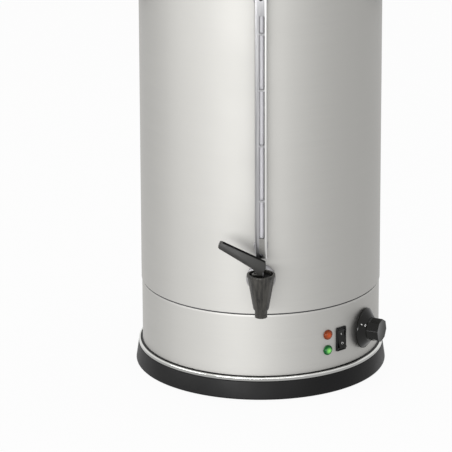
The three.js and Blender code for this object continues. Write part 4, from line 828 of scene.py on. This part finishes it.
tube_low, tube_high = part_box("gauge_tube")
tube_radius = tube_high.x
tube_axis = (tube_low.y + tube_high.y) / 2
fit("gauge_glass", turned([
    (tube_radius - 1 * mm, tube_low.z), (tube_radius, tube_low.z),
    (tube_radius, tube_high.z), (tube_radius - 1 * mm, tube_high.z)], 48, loop=True),
    borosilicate, stands_for=["gauge_tube"], place=Matrix.Translation((0, tube_axis, 0)))

elbow_mouth = 9.5 * mm
elbow_tail = 9.4 * mm
elbow_neck = 5.9 * mm
elbow_thread = 5 * mm
elbow_bore = 2.6 * mm
elbow_foot = jacket_radius - 1.5 * mm
elbow_flange = 8.75 * mm
elbow_face = jacket_radius + 4 * mm
socket_radius = 4.35 * mm
socket_depth = 6 * mm
for end, to_glass in (("lower", 1), ("upper", -1)):
    elbow_low, elbow_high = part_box(f"gauge_elbow_{end}")
    height = elbow_high.z - elbow_mouth if to_glass > 0 else elbow_low.z + elbow_mouth
    elbow = fit(f"elbow_{end}", turned(filleted([
        (elbow_bore, -elbow_high.y),
        (elbow_thread, -elbow_high.y, 0.4 * mm),
        (elbow_thread, elbow_foot),
        (elbow_flange, elbow_foot),
        (elbow_flange, elbow_face, 1.1 * mm),
        (elbow_neck, elbow_face, 0.6 * mm),
        (elbow_neck, -tube_axis),
        (elbow_bore, -tube_axis),
    ], 5), 56, loop=True), chrome, stands_for=[f"gauge_elbow_{end}"], place=wall_place(front, height))
    tail = height - to_glass * elbow_tail
    mouth = height + to_glass * elbow_mouth
    column = turned(filleted([
        (1 * mm, tail),
        (elbow_neck, tail, 1.4 * mm),
        (elbow_neck, mouth, 0.4 * mm),
        (socket_radius, mouth, 0.3 * mm),
        (socket_radius, mouth - to_glass * socket_depth),
        (1 * mm, mouth - to_glass * socket_depth),
    ], 5), 48)
    carve(elbow, moved(column, Matrix.Translation((0, tube_axis, 0))), "UNION")
    ring_low, ring_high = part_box(f"tube_seal_{end}")
    fit(f"tube_ring_{end}", turned(filleted([
        (socket_radius, ring_low.z, 0.3 * mm), (ring_high.x, ring_low.z, 0.7 * mm),
        (ring_high.x, ring_high.z, 0.7 * mm), (socket_radius, ring_high.z, 0.3 * mm)]), 48, loop=True),
        nitrile, stands_for=[f"tube_seal_{end}"], place=Matrix.Translation((0, tube_axis, 0)))
    dress(frame["nodes"][f"gauge_seal_{end}"], silicone)
    dress(frame["nodes"][f"gauge_nut_{end}"], mill_stainless)

# Gauge guard: a channel folded from drawn stainless strip, with a slot in its front in five runs, parted by
# bridges, and a spring strap across it below the slot. The drawing leaves fine upright lines, here 1.1 mm
# apart. The right-hand bend and side are painted light, a painted highlight.
drawn_stainless, tree = new_finish("drawn_stainless", "chrome")
where = add(tree, "TexCoord").outputs["Object"]
lines = add(tree, "TexNoise", {
    "Vector": add(tree, "Mapping", {"Vector": where, "Scale": (0.9 / mm, 0.9 / mm, 0.025 / mm)}).outputs["Vector"],
    "Scale": 1, "Detail": 2})
tint = add(tree, "MixRGB", {"Fac": lines.outputs["Fac"], "Color1": colour("#838386"), "Color2": colour("#9a9999")})
to_right = add(tree, "SeparateXYZ", {0: where}).outputs["X"]
# From the right-hand bend outwards the steel is painted light: a painted highlight.
painted_right_highlight = add(tree, "MapRange", {"Value": to_right, "From Min": 4.5 * mm, "From Max": 5 * mm})
tint = add(tree, "MixRGB", {
    "Fac": painted_right_highlight.outputs["Result"], "Color1": tint.outputs["Color"], "Color2": colour("#d4d4d2")})
shine = add(tree, "MapRange", {
    "Value": lines.outputs["Fac"], "From Min": 0.3, "From Max": 0.7, "To Min": 0.28, "To Max": 0.38})
surface = add(tree, "BsdfPrincipled", {
    "Base Color": tint.outputs["Color"], "Metallic": 1, "Roughness": shine.outputs["Result"]})
add(tree, "OutputMaterial", {"Surface": surface.outputs["BSDF"]})

guard_low, guard_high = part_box("gauge_guard")
guard_half = guard_high.x
guard_face = -guard_low.y
guard_back = -guard_high.y
guard_sheet = 0.9 * mm
bend = 2.4 * mm
inner_half = guard_half - guard_sheet
inner_face = guard_face - guard_sheet
section = filleted([
    (-guard_half, guard_back), (-guard_half, guard_face, bend), (guard_half, guard_face, bend),
    (guard_half, guard_back), (inner_half, guard_back), (inner_half, inner_face, bend - guard_sheet),
    (-inner_half, inner_face, bend - guard_sheet), (-inner_half, guard_back),
], 6)
guard = fit("guard_channel", lofted([[(x, -out, z) for x, out in section] for z in (guard_low.z, guard_high.z)]),
            drawn_stainless, stands_for=["gauge_guard"])
slot_left = -2.2 * mm
slot_right = 4.6 * mm
slot_foot = 213 * mm
slot_head = 491.4 * mm
bridge_first = 260.3 * mm
bridge_step = 69.6 * mm
bridge_half = 1.2 * mm
bridges = [bridge_first + bridge_step * index for index in range(4)]
for low, high in zip([slot_foot, *(bridge + bridge_half for bridge in bridges)],
                     [*(bridge - bridge_half for bridge in bridges), slot_head]):
    window = filleted([(slot_left, low, 1 * mm), (slot_right, low, 1 * mm),
                       (slot_right, high, 1 * mm), (slot_left, high, 1 * mm)])
    carve(guard, lofted([[(x, -out, z) for x, z in window] for out in (guard_face - 4 * mm, guard_face + 4 * mm)]))
# Each end of the channel is trimmed round, the lower one tightly.
for end, way, trimmed in ((guard_low.z, 1, 1 * mm), (guard_high.z, -1, 4 * mm)):
    corner = [(guard_face + 1 * mm, end - way * 1 * mm), (guard_face + 1 * mm, end + way * trimmed)]
    corner += [(guard_face - trimmed + trimmed * math.cos(turn), end + way * (trimmed - trimmed * math.sin(turn)))
               for turn in (math.radians(15 * step) for step in range(7))]
    corner += [(guard_face - trimmed, end - way * 1 * mm)]
    carve(guard, lofted([[(x, -out, z) for out, z in corner] for x in (-guard_half - 1 * mm, guard_half + 1 * mm)]))
strap_foot = guard_low.z + 0.5 * mm
strap_back = guard_face - 0.3 * mm
strap_face = guard_face + 0.2 * mm
strap = [(slot_left, strap_foot), (slot_right, strap_foot), (slot_right, slot_foot), (slot_left, slot_foot)]
fit("guard_strap", lofted([[(x, -out, z) for x, z in strap] for out in (strap_back, strap_face)]), spring_steel)
# Its screws are blackened too, with a cross cut in the head.
shaft = 1.5 * mm
cut_half = 0.35 * mm
cut_reach = 1.6 * mm
for end in ("lower", "upper"):
    head_low, head_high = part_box(f"guard_screw_{end}")
    head = (head_high.z - head_low.z) / 2
    face = guard_face + 0.1 * mm
    place = wall_place(front, (head_low.z + head_high.z) / 2)
    screw = fit(f"guard_fixing_{end}", turned(filleted([
        (shaft, face - 4 * mm), (shaft, face), (head, face), (head, face + 0.9 * mm, 0.5 * mm),
        (0.4 * mm, -head_low.y, 0.2 * mm)]), 32), blackened, stands_for=[f"guard_screw_{end}"], place=place)
    for across, along in ((cut_half, cut_reach), (cut_reach, cut_half)):
        outline = [(-across, -along), (across, -along), (across, along), (-across, along)]
        carve(screw, moved(lofted([[(x, y, out) for x, y in outline] for out in (face + 0.4 * mm, face + 3 * mm)]),
                           place))

# Handles: two compression-moulded phenolic grips, bolted through the jacket to straps inside it. Their
# edges are well rounded and their arms follow the drum. The filler shows as a faint grain in the gloss.
phenolic, tree = new_finish("moulded_phenolic", "black_plastic")
where = add(tree, "TexCoord").outputs["Object"]
filler = add(tree, "TexNoise", {"Vector": where, "Scale": 1 / (2.2 * mm), "Detail": 4, "Roughness": 0.6})
rubbed = add(tree, "TexNoise", {"Vector": where, "Scale": 1 / (25 * mm), "Detail": 4})
tint = add(tree, "MixRGB", {"Fac": filler.outputs["Fac"], "Color1": colour("#151515"), "Color2": colour("#1f1e1d")})
shine = add(tree, "MapRange", {
    "Value": rubbed.outputs["Fac"], "From Min": 0.3, "From Max": 0.7, "To Min": 0.25, "To Max": 0.4})
relief = add(tree, "Bump", {"Height": filler.outputs["Fac"], "Strength": 0.12, "Distance": 0.06 * mm})
surface = add(tree, "BsdfPrincipled", {
    "Base Color": tint.outputs["Color"], "Roughness": shine.outputs["Result"], "IOR": 1.6,
    "Normal": relief.outputs["Normal"]})
add(tree, "OutputMaterial", {"Surface": surface.outputs["BSDF"]})

bar = 16 * mm
elbow_setback = 16 * mm
edge_setback = 5 * mm
for side_name, way in (("right", 1), ("left", -1)):
    low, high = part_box(f"handle_{side_name}")
    grip_half = high.y
    outer = max(high.x, -low.x)
    depth = (high.z - low.z) / 2
    middle_half = grip_half - bar / 2
    reach = outer - bar / 2
    root = math.sqrt(jacket_radius ** 2 - grip_half ** 2) - 2 * mm
    path = filleted([(-middle_half, root), (-middle_half, reach, elbow_setback), (middle_half, reach, elbow_setback),
                     (middle_half, root)], 12)
    rings = []
    for index, (x, out) in enumerate(path):
        before = Vector(path[max(index - 1, 0)])
        after = Vector(path[min(index + 1, len(path) - 1)])
        ahead = (after - before).normalized()
        across = Vector((ahead.y, -ahead.x))
        ring = filleted([(-bar / 2, -depth, edge_setback), (bar / 2, -depth, edge_setback),
                         (bar / 2, depth, edge_setback), (-bar / 2, depth, edge_setback)], 5)
        rings.append([(x + across.x * u, v, out + across.y * u) for u, v in ring])
    place = wall_place(Vector((way, 0, 0)), (low.z + high.z) / 2)
    grip = fit(f"grip_{side_name}", lofted(rings), phenolic, stands_for=[f"handle_{side_name}"], place=place)
    carve(grip, turned([(jacket_radius + 0.2 * mm, low.z - 10 * mm), (jacket_radius + 0.2 * mm, high.z + 10 * mm)],
                       drum_sides))
    dress(frame["nodes"][f"handle_bracket_{side_name}"], mill_stainless)

# Pilot lamps: snap-in lamps with a flanged body and a domed lens in one colour of polycarbonate. One shows
# heating and is off; the other shows that the water is ready and glows from its middle.


def lens_finish(name, slot, dark, bright, glow):
    """Tinted polycarbonate over a small lamp: glossy, with prisms inside. Its colour is painted lighter in the
    middle and darker at the rim: where the lamp is off this is a painted highlight and painted shade, and where glow
    is above nought the middle shines.
    """
    finish, tree = new_finish(name, slot)
    where = add(tree, "TexCoord").outputs["Object"]
    prisms = add(tree, "TexVoronoi", {"Vector": where, "Scale": 1 / (1.6 * mm)})
    spot = middle("lamp_lens_ready" if glow else "lamp_lens_heating")
    apart = add(tree, "VectorMath", {0: where, 1: spot}, operation="DISTANCE")
    core = add(tree, "MapRange", {
        "Value": apart.outputs["Value"], "From Min": 2.4 * mm, "From Max": 5 * mm, "To Min": 1, "To Max": 0})
    inner = add(tree, "MapRange", {
        "Value": prisms.outputs["Distance"], "From Min": 0, "From Max": 0.8, "To Min": 0.8, "To Max": 1})
    share = add(tree, "Math", {0: core.outputs["Result"], 1: inner.outputs["Result"]}, operation="MULTIPLY")
    tint = add(tree, "MixRGB", {"Fac": share.outputs["Value"], "Color1": colour(dark), "Color2": colour(bright)})
    light = add(tree, "Math", {0: share.outputs["Value"], 1: glow}, operation="MULTIPLY")
    relief = add(tree, "Bump", {"Height": prisms.outputs["Distance"], "Strength": 0.2, "Distance": 0.2 * mm})
    surface = add(tree, "BsdfPrincipled", {
        "Base Color": tint.outputs["Color"], "Roughness": 0.18, "IOR": 1.58, "Specular IOR Level": 0.2,
        "Normal": relief.outputs["Normal"],
        "Emission Color": tint.outputs["Color"], "Emission Strength": light.outputs["Value"]})
    add(tree, "OutputMaterial", {"Surface": surface.outputs["BSDF"]})
    return finish


orange_lens = lens_finish("orange_polycarbonate", "orange_lens", "#74300f", "#c8501a", 0)
green_lens = lens_finish("green_polycarbonate", "green_lens", "#0a5524", "#8ade6c", 1.05)
barrel_bore = 4.35 * mm
barrel_radius = 4.8 * mm
barrel_length = 15.9 * mm
lamp_flange = 6.3 * mm
lens_radius = 5.3 * mm
lens_stem = 4 * mm
lamp_back = housing_radius + 0.1 * mm
lamp_face = lamp_back + 1.5 * mm
lens_seat = lamp_back + 0.6 * mm
dome_foot = lamp_back + 1.9 * mm
dome_rise = 2.3 * mm
dome = [(lens_radius * math.cos(turn), dome_foot + dome_rise * math.sin(turn))
        for turn in (math.radians(9 * step) for step in range(10))]
for name, finish in (("heating", orange_lens), ("ready", green_lens)):
    lamp = middle(f"lamp_bezel_{name}")
    place = wall_place(lamp, lamp.z)
    fit(f"lamp_flange_{name}", turned(filleted([
        (barrel_bore, lamp_back - barrel_length), (barrel_radius, lamp_back - barrel_length),
        (barrel_radius, lamp_back), (lamp_flange, lamp_back, 0.2 * mm), (lamp_flange, lamp_face, 0.55 * mm),
        (5.5 * mm, lamp_face, 0.2 * mm), (5.6 * mm, lens_seat), (barrel_bore, lens_seat)]),
        48, loop=True), finish, stands_for=[f"lamp_bezel_{name}"], place=place)
    fit(f"lamp_dome_{name}", turned([
        (lens_stem, lamp_back - 7 * mm), (lens_stem, lamp_back + 0.8 * mm), (lens_radius, lamp_back + 0.8 * mm),
        *dome], 48), finish, stands_for=[f"lamp_lens_{name}"], place=place)

# Rocker switch: a snap-in switch with a satin frame and a polished rocker, whose upper end is pressed in.
# The marks for on and off are printed white.
rocker_at = Vector(joints["rocker_tip"]["pos_m"])
switch_place = wall_place(rocker_at, rocker_at.z)
rocker_axis = rocker_at.xy.length
frame_half_wide = 7.75 * mm
frame_half_tall = 15.35 * mm
frame_face = housing_radius + 2.3 * mm
frame_back = housing_radius + 0.1 * mm
well_half_wide = 5.65 * mm
well_half_tall = 13.25 * mm


def oblong(half_wide, half_tall, corner):
    """The outline of an oblong with rounded corners."""
    return filleted([(-half_wide, -half_tall, corner), (half_wide, -half_tall, corner),
                     (half_wide, half_tall, corner), (-half_wide, half_tall, corner)])


body_outline = oblong(6.65 * mm, 14.25 * mm, 0.8 * mm)
frame_outline = oblong(frame_half_wide, frame_half_tall, 1 * mm)
well = oblong(well_half_wide, well_half_tall, 0.5 * mm)
fit("switch_bezel", lofted([[(x, y, out) for x, y in outline] for outline, out in (
    (body_outline, housing_radius - 16 * mm),
    (body_outline, frame_back),
    (frame_outline, frame_back),
    (frame_outline, frame_face - 1 * mm),
    (oblong(frame_half_wide - 0.3 * mm, frame_half_tall - 0.3 * mm, 1 * mm), frame_face - 0.3 * mm),
    (oblong(frame_half_wide - 0.7 * mm, frame_half_tall - 0.7 * mm, 0.8 * mm), frame_face),
    (oblong(well_half_wide + 0.3 * mm, well_half_tall + 0.3 * mm, 0.5 * mm), frame_face),
    (well, frame_face - 0.4 * mm),
    (well, housing_radius - 14 * mm),
)]), moulded_abs, stands_for=["switch_frame"], place=switch_place)
tilt = math.radians(10)
rocker_half = 12.9 * mm
proud = 2.2 * mm
fall = rocker_half * math.tan(tilt)
end = rocker_half * math.cos(tilt) - (proud + fall) * math.sin(tilt)
root = -fall - 2 * mm
shallow = proud + 0.15 * mm
cheek = filleted([
    (-end, proud + fall, 1.2 * mm), (-end, -fall), (-rocker_half / 2, root), (rocker_half / 2, root),
    (end, -fall), (end, proud + fall, 1.2 * mm), (rocker_half * 0.55, shallow, 3 * mm), (0, proud),
    (-rocker_half * 0.55, shallow, 3 * mm)], 5)
# The gloss of a polished mould, dulled in patches by use.
gloss_black, tree = new_finish("gloss_black_abs", "gloss_black")
where = add(tree, "TexCoord").outputs["Object"]
wiped = add(tree, "TexNoise", {"Vector": where, "Scale": 1 / (7 * mm), "Detail": 5})
shine = add(tree, "MapRange", {
    "Value": wiped.outputs["Fac"], "From Min": 0.35, "From Max": 0.7, "To Min": 0.1, "To Max": 0.2})
tint = add(tree, "MixRGB", {"Fac": wiped.outputs["Fac"], "Color1": colour("#050504"), "Color2": colour("#11100e")})
surface = add(tree, "BsdfPrincipled", {
    "Base Color": tint.outputs["Color"], "Roughness": shine.outputs["Result"], "IOR": 1.54,
    "Specular IOR Level": 0.2})
add(tree, "OutputMaterial", {"Surface": surface.outputs["BSDF"]})
rocker_half_wide = 5.3 * mm
mesh = lofted([[(x, y, z) for y, z in cheek] for x in (-rocker_half_wide, rocker_half_wide)])
rims = [edge for edge in mesh.edges if abs(edge.verts[0].co.x - edge.verts[1].co.x) < 0.1 * mm]
bmesh.ops.bevel(mesh, geom=rims, offset=0.3 * mm, segments=3, profile=0.5, affect="EDGES")
rocker_place = switch_place @ Matrix.Translation((0, 0, rocker_axis)) @ Matrix.Rotation(-tilt, 4, "X")
fit("rocker_cap", mesh, gloss_black, "rocker", ["switch_rocker"], rocker_place, 40)

# The print is a thin, dull coat of white ink with pinholes, here 0.6 mm apart.
pad_print, tree = new_finish("white_pad_print", "gloss_black")
where = add(tree, "TexCoord").outputs["Object"]
ink = add(tree, "TexNoise", {"Vector": where, "Scale": 1 / (0.6 * mm), "Detail": 2})
tint = add(tree, "MixRGB", {"Fac": ink.outputs["Fac"], "Color1": colour("#c9c9c7"), "Color2": colour("#efefed")})
surface = add(tree, "BsdfPrincipled", {"Base Color": tint.outputs["Color"], "Roughness": 0.5})
add(tree, "OutputMaterial", {"Surface": surface.outputs["BSDF"]})


def lettered(text, size):
    """The text as a thin bmesh in the xy plane, centred, with the ink's thickness along z."""
    data = bpy.data.curves.new("letters", "FONT")
    data.body = text
    data.size = size
    data.align_x = "CENTER"
    data.align_y = "CENTER"
    data.extrude = 0.04 * mm
    data.resolution_u = 4
    letters = bpy.data.objects.new("letters", data)
    bpy.context.scene.collection.objects.link(letters)
    bpy.context.view_layer.update()
    mesh = bmesh.new()
    flat = letters.evaluated_get(bpy.context.evaluated_depsgraph_get()).to_mesh()
    mesh.from_mesh(flat)
    bpy.data.objects.remove(letters)
    bpy.data.curves.remove(data)
    bmesh.ops.remove_doubles(mesh, verts=mesh.verts, dist=0.001 * mm)
    return mesh


def on_rocker(height):
    """The place of a mark on the rocker's face, at that height, leaning with the face."""
    return rocker_place @ Matrix.Translation((0, height, proud + 0.25 * mm)) @ Matrix.Rotation(
        math.copysign(math.radians(6), height), 4, "X")


ink_depth = 0.1 * mm
line_half = 0.22 * mm
fit("on_mark", moved(lofted([
    [(-line_half, y, 0), (line_half, y, 0), (line_half, y, ink_depth), (-line_half, y, ink_depth)]
    for y in (-1.5 * mm, 1.5 * mm)]), on_rocker(6 * mm)), pad_print, "rocker")
fit("off_mark", moved(turned([
    (1.1 * mm, 0), (1.45 * mm, 0), (1.45 * mm, ink_depth), (1.1 * mm, ink_depth)], 32, loop=True),
    on_rocker(-6 * mm)), pad_print, "rocker")

# Thermostat: its bush comes through the housing and carries a polished black dial, an octagonal grip on
# a wide skirt, with a white index, a zero and the temperatures printed on the skirt.
dial_joint = joints["dial_turn"]
dial_out = Vector(dial_joint["axis"])
# The dial faces a little further from the tap than the wall behind it, so its axis misses the urn's. Its
# heights are measured along that axis from a point that is 160 mm behind the joint.
dial_place = Matrix.Translation(Vector(dial_joint["pos_m"]) - 160 * mm * dial_out) @ wall_place(dial_out, 0)
for node in ("thermostat_nut", "thermostat_shaft"):
    dress(frame["nodes"][node], mill_stainless)
dress(frame["nodes"]["thermostat_body"], moulded_abs)
dial_back = housing_radius + 1.3 * mm
dial_radius = 25.3 * mm
skirt_face = dial_back + 2.6 * mm
cone_rise = 7 * mm
grip_face = housing_radius + 25.7 * mm
grip_corner = 14.7 * mm
grip_foot = 16.2 * mm
cone_top = skirt_face + cone_rise
nut_bore = 8.9 * mm
nut_depth = 3 * mm
fit("dial_skirt", turned(filleted([
    (nut_bore, dial_back),
    (dial_radius, dial_back, 0.8 * mm),
    (dial_radius, skirt_face, 0.9 * mm),
    (grip_foot, cone_top, 0.8 * mm),
    (nut_bore - 0.9 * mm, cone_top + 0.4 * mm),
    (nut_bore - 0.9 * mm, dial_back + nut_depth),
    (nut_bore, dial_back + nut_depth),
], 6), 96, loop=True), gloss_black, "dial", ["thermostat_knob"], dial_place)


def polygon(radius, sides, first, setback, steps=4):
    """The outline of a regular polygon with rounded corners, the first of them at that angle in degrees."""
    turns = [math.radians(first) + 2 * math.pi * side / sides for side in range(sides)]
    return filleted([(radius * math.cos(turn), radius * math.sin(turn), setback) for turn in turns], steps)


# The grip sweeps in from the cone, goes straight up, and has a rounded rim round a slightly sunk top.
grip_base = cone_top - 0.6 * mm
rim_round = 0.6 * mm
grip_levels = [(grip_base, grip_foot + 0.4 * mm), (grip_base + 0.7 * mm, grip_foot - 0.5 * mm),
               (grip_base + 1.7 * mm, grip_corner + 0.4 * mm), (grip_base + 3.2 * mm, grip_corner)]
grip_levels += [(grip_face - rim_round + rim_round * math.sin(turn),
                 grip_corner - 0.1 * mm - rim_round * (1 - math.cos(turn)))
                for turn in (math.radians(18 * step) for step in range(6))]
grip_levels += [(grip_face - 0.25 * mm, grip_corner - 2 * mm)]
fit("dial_grip", lofted([[(x, y, out) for x, y in polygon(radius, 8, 37, 0.7 * mm)] for out, radius in grip_levels]),
    gloss_black, "dial", place=dial_place, crease=38)

slope = math.atan2(cone_rise, dial_radius - grip_foot)


def printed_at(turn, radius):
    """The place of a print on the skirt, at that turn from nine o'clock against the clock, upright."""
    angle = math.pi + math.radians(turn)
    drop = (dial_radius - radius) * math.tan(slope)
    return (dial_place @ Matrix.Translation((0, 0, skirt_face + drop + 0.05 * mm))
            @ Matrix.Rotation(angle, 4, "Z") @ Matrix.Translation((radius, 0, 0))
            @ Matrix.Rotation(slope, 4, "Y") @ Matrix.Rotation(-math.pi, 4, "Z"))


index_line = [(-1.1 * mm, -0.45 * mm), (1.1 * mm, -0.45 * mm), (1.1 * mm, 0.45 * mm), (-1.1 * mm, 0.45 * mm)]
fit("dial_index", lofted([[(x, y, z) for x, y in index_line] for z in (0, 0.12 * mm)]), pad_print, "dial",
    place=printed_at(-30, dial_radius - 3.4 * mm))
for turn, text, inset in ((-30, "0", 7.6 * mm), (120, "40", 4.5 * mm), (155, "60", 4.5 * mm),
                          (190, "80", 4.5 * mm), (225, "100", 4.5 * mm)):
    fit(f"dial_number_{text}", lettered(text, 4.4 * mm), pad_print, "dial",
        place=printed_at(turn, dial_radius - inset) @ Matrix.Translation((0, 0, 0.06 * mm)))

# Mains entry at the back: a nylon cable gland, hexagonal against the housing, whose thread goes through the
# wall. A ribbed cap nut with a domed end screws on to it from outside. Both are moulded, with a matt grain.
gland_low, gland_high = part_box("cable_gland")
gland_place = wall_place(Vector((0, 1, 0)), (gland_low.z + gland_high.z) / 2)
thread = 8 * mm
hexagon = 12.5 * mm
gland_back = housing_radius + 0.2 * mm
cable_hole = 4 * mm
gland = fit("gland_hexagon", lofted([
    [(x, y, gland_back + out) for x, y in polygon(radius, 6, 0, 0.8 * mm, 3)]
    for radius, out in ((hexagon, 0), (hexagon, 3.3 * mm), (hexagon - 0.9 * mm, 4 * mm))
]), moulded_abs, stands_for=["cable_gland"], place=gland_place)
carve(gland, moved(turned([(thread, housing_radius - 13 * mm), (thread, gland_high.y)], 48), gland_place), "UNION")
carve(gland, moved(turned([
    (cable_hole, housing_radius - 20 * mm), (cable_hole, gland_high.y + 5 * mm)], 48), gland_place))
nut_low, nut_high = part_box("gland_nut")
nut_radius = nut_high.x
nut_roof = nut_high.y - 3.2 * mm
fit("gland_cap", turned(filleted([
    (thread + slip, nut_low.y),
    (nut_radius, nut_low.y, 0.5 * mm),
    (nut_radius, nut_high.y - 3 * mm, 1.5 * mm),
    (nut_radius - 3.4 * mm, nut_high.y, 1.2 * mm),
    (cable_hole, nut_high.y, 0.5 * mm),
    (cable_hole, nut_roof),
    (thread + slip, nut_roof),
], 5), 64, loop=True), moulded_abs, stands_for=["gland_nut"], place=gland_place)
rib_count = 18
rib = [(-0.5 * mm, -0.2 * mm), (0.5 * mm, -0.2 * mm), (0.25 * mm, 0.35 * mm), (-0.25 * mm, 0.35 * mm)]
for index in range(rib_count):
    turn = 2 * math.pi * index / rib_count
    fit(f"gland_rib_{index + 1}", lofted([
        [(nut_radius - 0.4 * mm + y, x, z) for x, y in rib] for z in (nut_low.y + 0.8 * mm, nut_high.y - 4.2 * mm)]),
        moulded_abs, place=gland_place @ Matrix.Rotation(turn, 4, "Z"))

# Lid: a spun stainless dome with a flat brim and a skirt that enters the tank. It is brushed in circles on
# the lathe, finely, but here 1.1 mm apart. The knob is phenolic, held by a screw from below.
brushed_circles, tree = new_finish("stainless_brushed_circles", "brushed_stainless")
where = add(tree, "TexCoord").outputs["Object"]
flat = add(tree, "VectorMath", {0: where, 1: (1, 1, 0)}, operation="MULTIPLY")
from_axis = add(tree, "VectorMath", {0: flat.outputs["Vector"]}, operation="LENGTH")
along = add(tree, "CombineXYZ", {"X": from_axis.outputs["Value"]})
circles = add(tree, "TexNoise", {
    "Vector": along.outputs["Vector"], "Scale": 1 / brush_line, "Detail": 4, "Roughness": 0.7})
tint = add(tree, "MixRGB", {
    "Fac": circles.outputs["Fac"], "Color1": colour("#a3a29e"), "Color2": colour("#b1b0ac")})
shine = add(tree, "MapRange", {
    "Value": circles.outputs["Fac"], "From Min": 0.3, "From Max": 0.7, "To Min": 0.28, "To Max": 0.38})
relief = add(tree, "Bump", {"Height": circles.outputs["Fac"], "Strength": 0.1, "Distance": 0.05 * mm})
surface = add(tree, "BsdfPrincipled", {
    "Base Color": tint.outputs["Color"], "Metallic": 1, "Roughness": shine.outputs["Result"],
    "Normal": relief.outputs["Normal"]})
add(tree, "OutputMaterial", {"Surface": surface.outputs["BSDF"]})

lid_low, lid_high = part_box("lid_dome")
lid_sheet = 1.2 * mm
plug_radius = tank_inner - 1.2 * mm
brim_radius = lid_high.x
brim_foot = rim_top + gap
brim_top = brim_foot + lid_sheet
crown_radius = 16 * mm
screw_hole = 2.85 * mm


def domed(foot_radius, foot_height, top_height, steps=24):
    """The dome's arc in section, from the knob's seat down to the brim."""
    return [(crown_radius + (foot_radius - crown_radius) * step / steps,
             top_height - (top_height - foot_height) * (step / steps) ** 2) for step in range(steps + 1)]


fit("lid_shell", turned([
    (screw_hole, lid_high.z),
    *domed(plug_radius - 2 * lid_sheet, brim_top, lid_high.z),
    *filleted([(plug_radius, brim_top), (brim_radius, brim_top, 0.5 * mm), (brim_radius, brim_foot, 0.5 * mm),
               (plug_radius, brim_foot, 0.3 * mm), (plug_radius, lid_low.z, 0.3 * mm),
               (plug_radius - lid_sheet, lid_low.z, 0.3 * mm)]),
    *reversed(domed(plug_radius - lid_sheet, brim_foot, lid_high.z - lid_sheet)),
    (screw_hole, lid_high.z - lid_sheet),
], drum_sides, loop=True), brushed_circles, "lid", ["lid_dome"])
knob_low, knob_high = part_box("lid_knob")
knob_radius = knob_high.x
knob_foot = 14 * mm
knob_waist = 10 * mm
fit("knob_moulding", turned(filleted([
    (2.8 * mm, knob_low.z),
    (knob_foot, knob_low.z, 0.8 * mm),
    (knob_foot, knob_low.z + 3.6 * mm, 1.6 * mm),
    (knob_waist, knob_low.z + 8.5 * mm, 3.1 * mm),
    (knob_waist, knob_low.z + 15 * mm, 3.3 * mm),
    (knob_radius, knob_low.z + 22.5 * mm, 1.7 * mm),
    (knob_radius, knob_low.z + 26 * mm, 1.7 * mm),
    (knob_radius - 6 * mm, knob_high.z - 1.6 * mm, 4.8 * mm),
    (1 * mm, knob_high.z),
], 7), 72), phenolic, "lid", ["lid_knob"])
dress(frame["nodes"]["lid_knob_screw"], mill_stainless)

# Studio: a pale floor that runs on without an edge. Wide soft boxes stand low and far off, the strongest in
# front at the left, then one at the left side and a weaker one at the right, so that the steel is lit evenly
# from foot to rim; a small one hangs above. What the camera, metal and glass see beyond the urn is white.
floor_mesh = bmesh.new()
bmesh.ops.create_grid(floor_mesh, x_segments=1, y_segments=1, size=12)
floor_data = bpy.data.meshes.new("floor")
floor_mesh.to_mesh(floor_data)
floor_mesh.free()
floor = bpy.data.objects.new("floor", floor_data)
floor.location.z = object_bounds()[0].z
bpy.context.scene.collection.objects.link(floor)


def seen_rays(tree):
    """1 where the camera sees the surface, straight or through metal and glass, and 0 where it only lights."""
    rays = add(tree, "LightPath").outputs
    seen = add(tree, "Math", {0: rays["Is Camera Ray"], 1: rays["Is Glossy Ray"]}, operation="MAXIMUM")
    seen = add(tree, "Math", {0: seen.outputs["Value"], 1: rays["Is Transmission Ray"]}, operation="MAXIMUM")
    return seen.outputs["Value"]


pale_floor = bpy.data.materials.new("pale_floor")
pale_floor.use_nodes = True
tree = pale_floor.node_tree
tree.nodes.clear()
paint = add(tree, "BsdfDiffuse", {"Color": colour("#f2f2f2")})
white = add(tree, "Emission", {"Color": (1, 1, 1, 1), "Strength": 1})
share = add(tree, "Math", {0: seen_rays(tree), 1: 0.94}, operation="MULTIPLY")
mixed = add(tree, "MixShader", {0: share.outputs["Value"], 1: paint.outputs["BSDF"], 2: white.outputs["Emission"]})
add(tree, "OutputMaterial", {"Surface": mixed.outputs["Shader"]})
floor_data.materials.append(pale_floor)

world = bpy.data.worlds.new("studio")
world.use_nodes = True
bpy.context.scene.world = world
tree = world.node_tree
tree.nodes.clear()
room = add(tree, "Background", {"Color": (1, 1, 1, 1), "Strength": 0.42})
backdrop = add(tree, "Background", {"Color": (1, 1, 1, 1), "Strength": 1})
mixed = add(tree, "MixShader", {
    0: seen_rays(tree), 1: room.outputs["Background"], 2: backdrop.outputs["Background"]})
add(tree, "OutputWorld", {"Surface": mixed.outputs["Shader"]})


def soft_lamp(name, spot, wide, tall, power):
    """A soft box at that spot, aimed at the middle of the urn."""
    data = bpy.data.lights.new(name, "AREA")
    data.shape = "RECTANGLE"
    data.size = wide
    data.size_y = tall
    data.energy = power
    lamp = bpy.data.objects.new(name, data)
    lamp.location = spot
    aim = Vector((0, 0, 280 * mm)) - Vector(spot)
    lamp.rotation_euler = aim.to_track_quat("-Z", "Y").to_euler()
    bpy.context.scene.collection.objects.link(lamp)


soft_lamp("key", (-3.6, -10.2, 1.25), 8.4, 2.4, 920)
soft_lamp("side", (-10.6, -3.6, 1.25), 7.6, 2.4, 420)
soft_lamp("fill", (4.0, -10.1, 1.25), 7.4, 2.4, 190)
soft_lamp("top", (0.2, 0.3, 2.8), 2.0, 2.0, 22)
bpy.context.scene.view_settings.view_transform = "Standard"
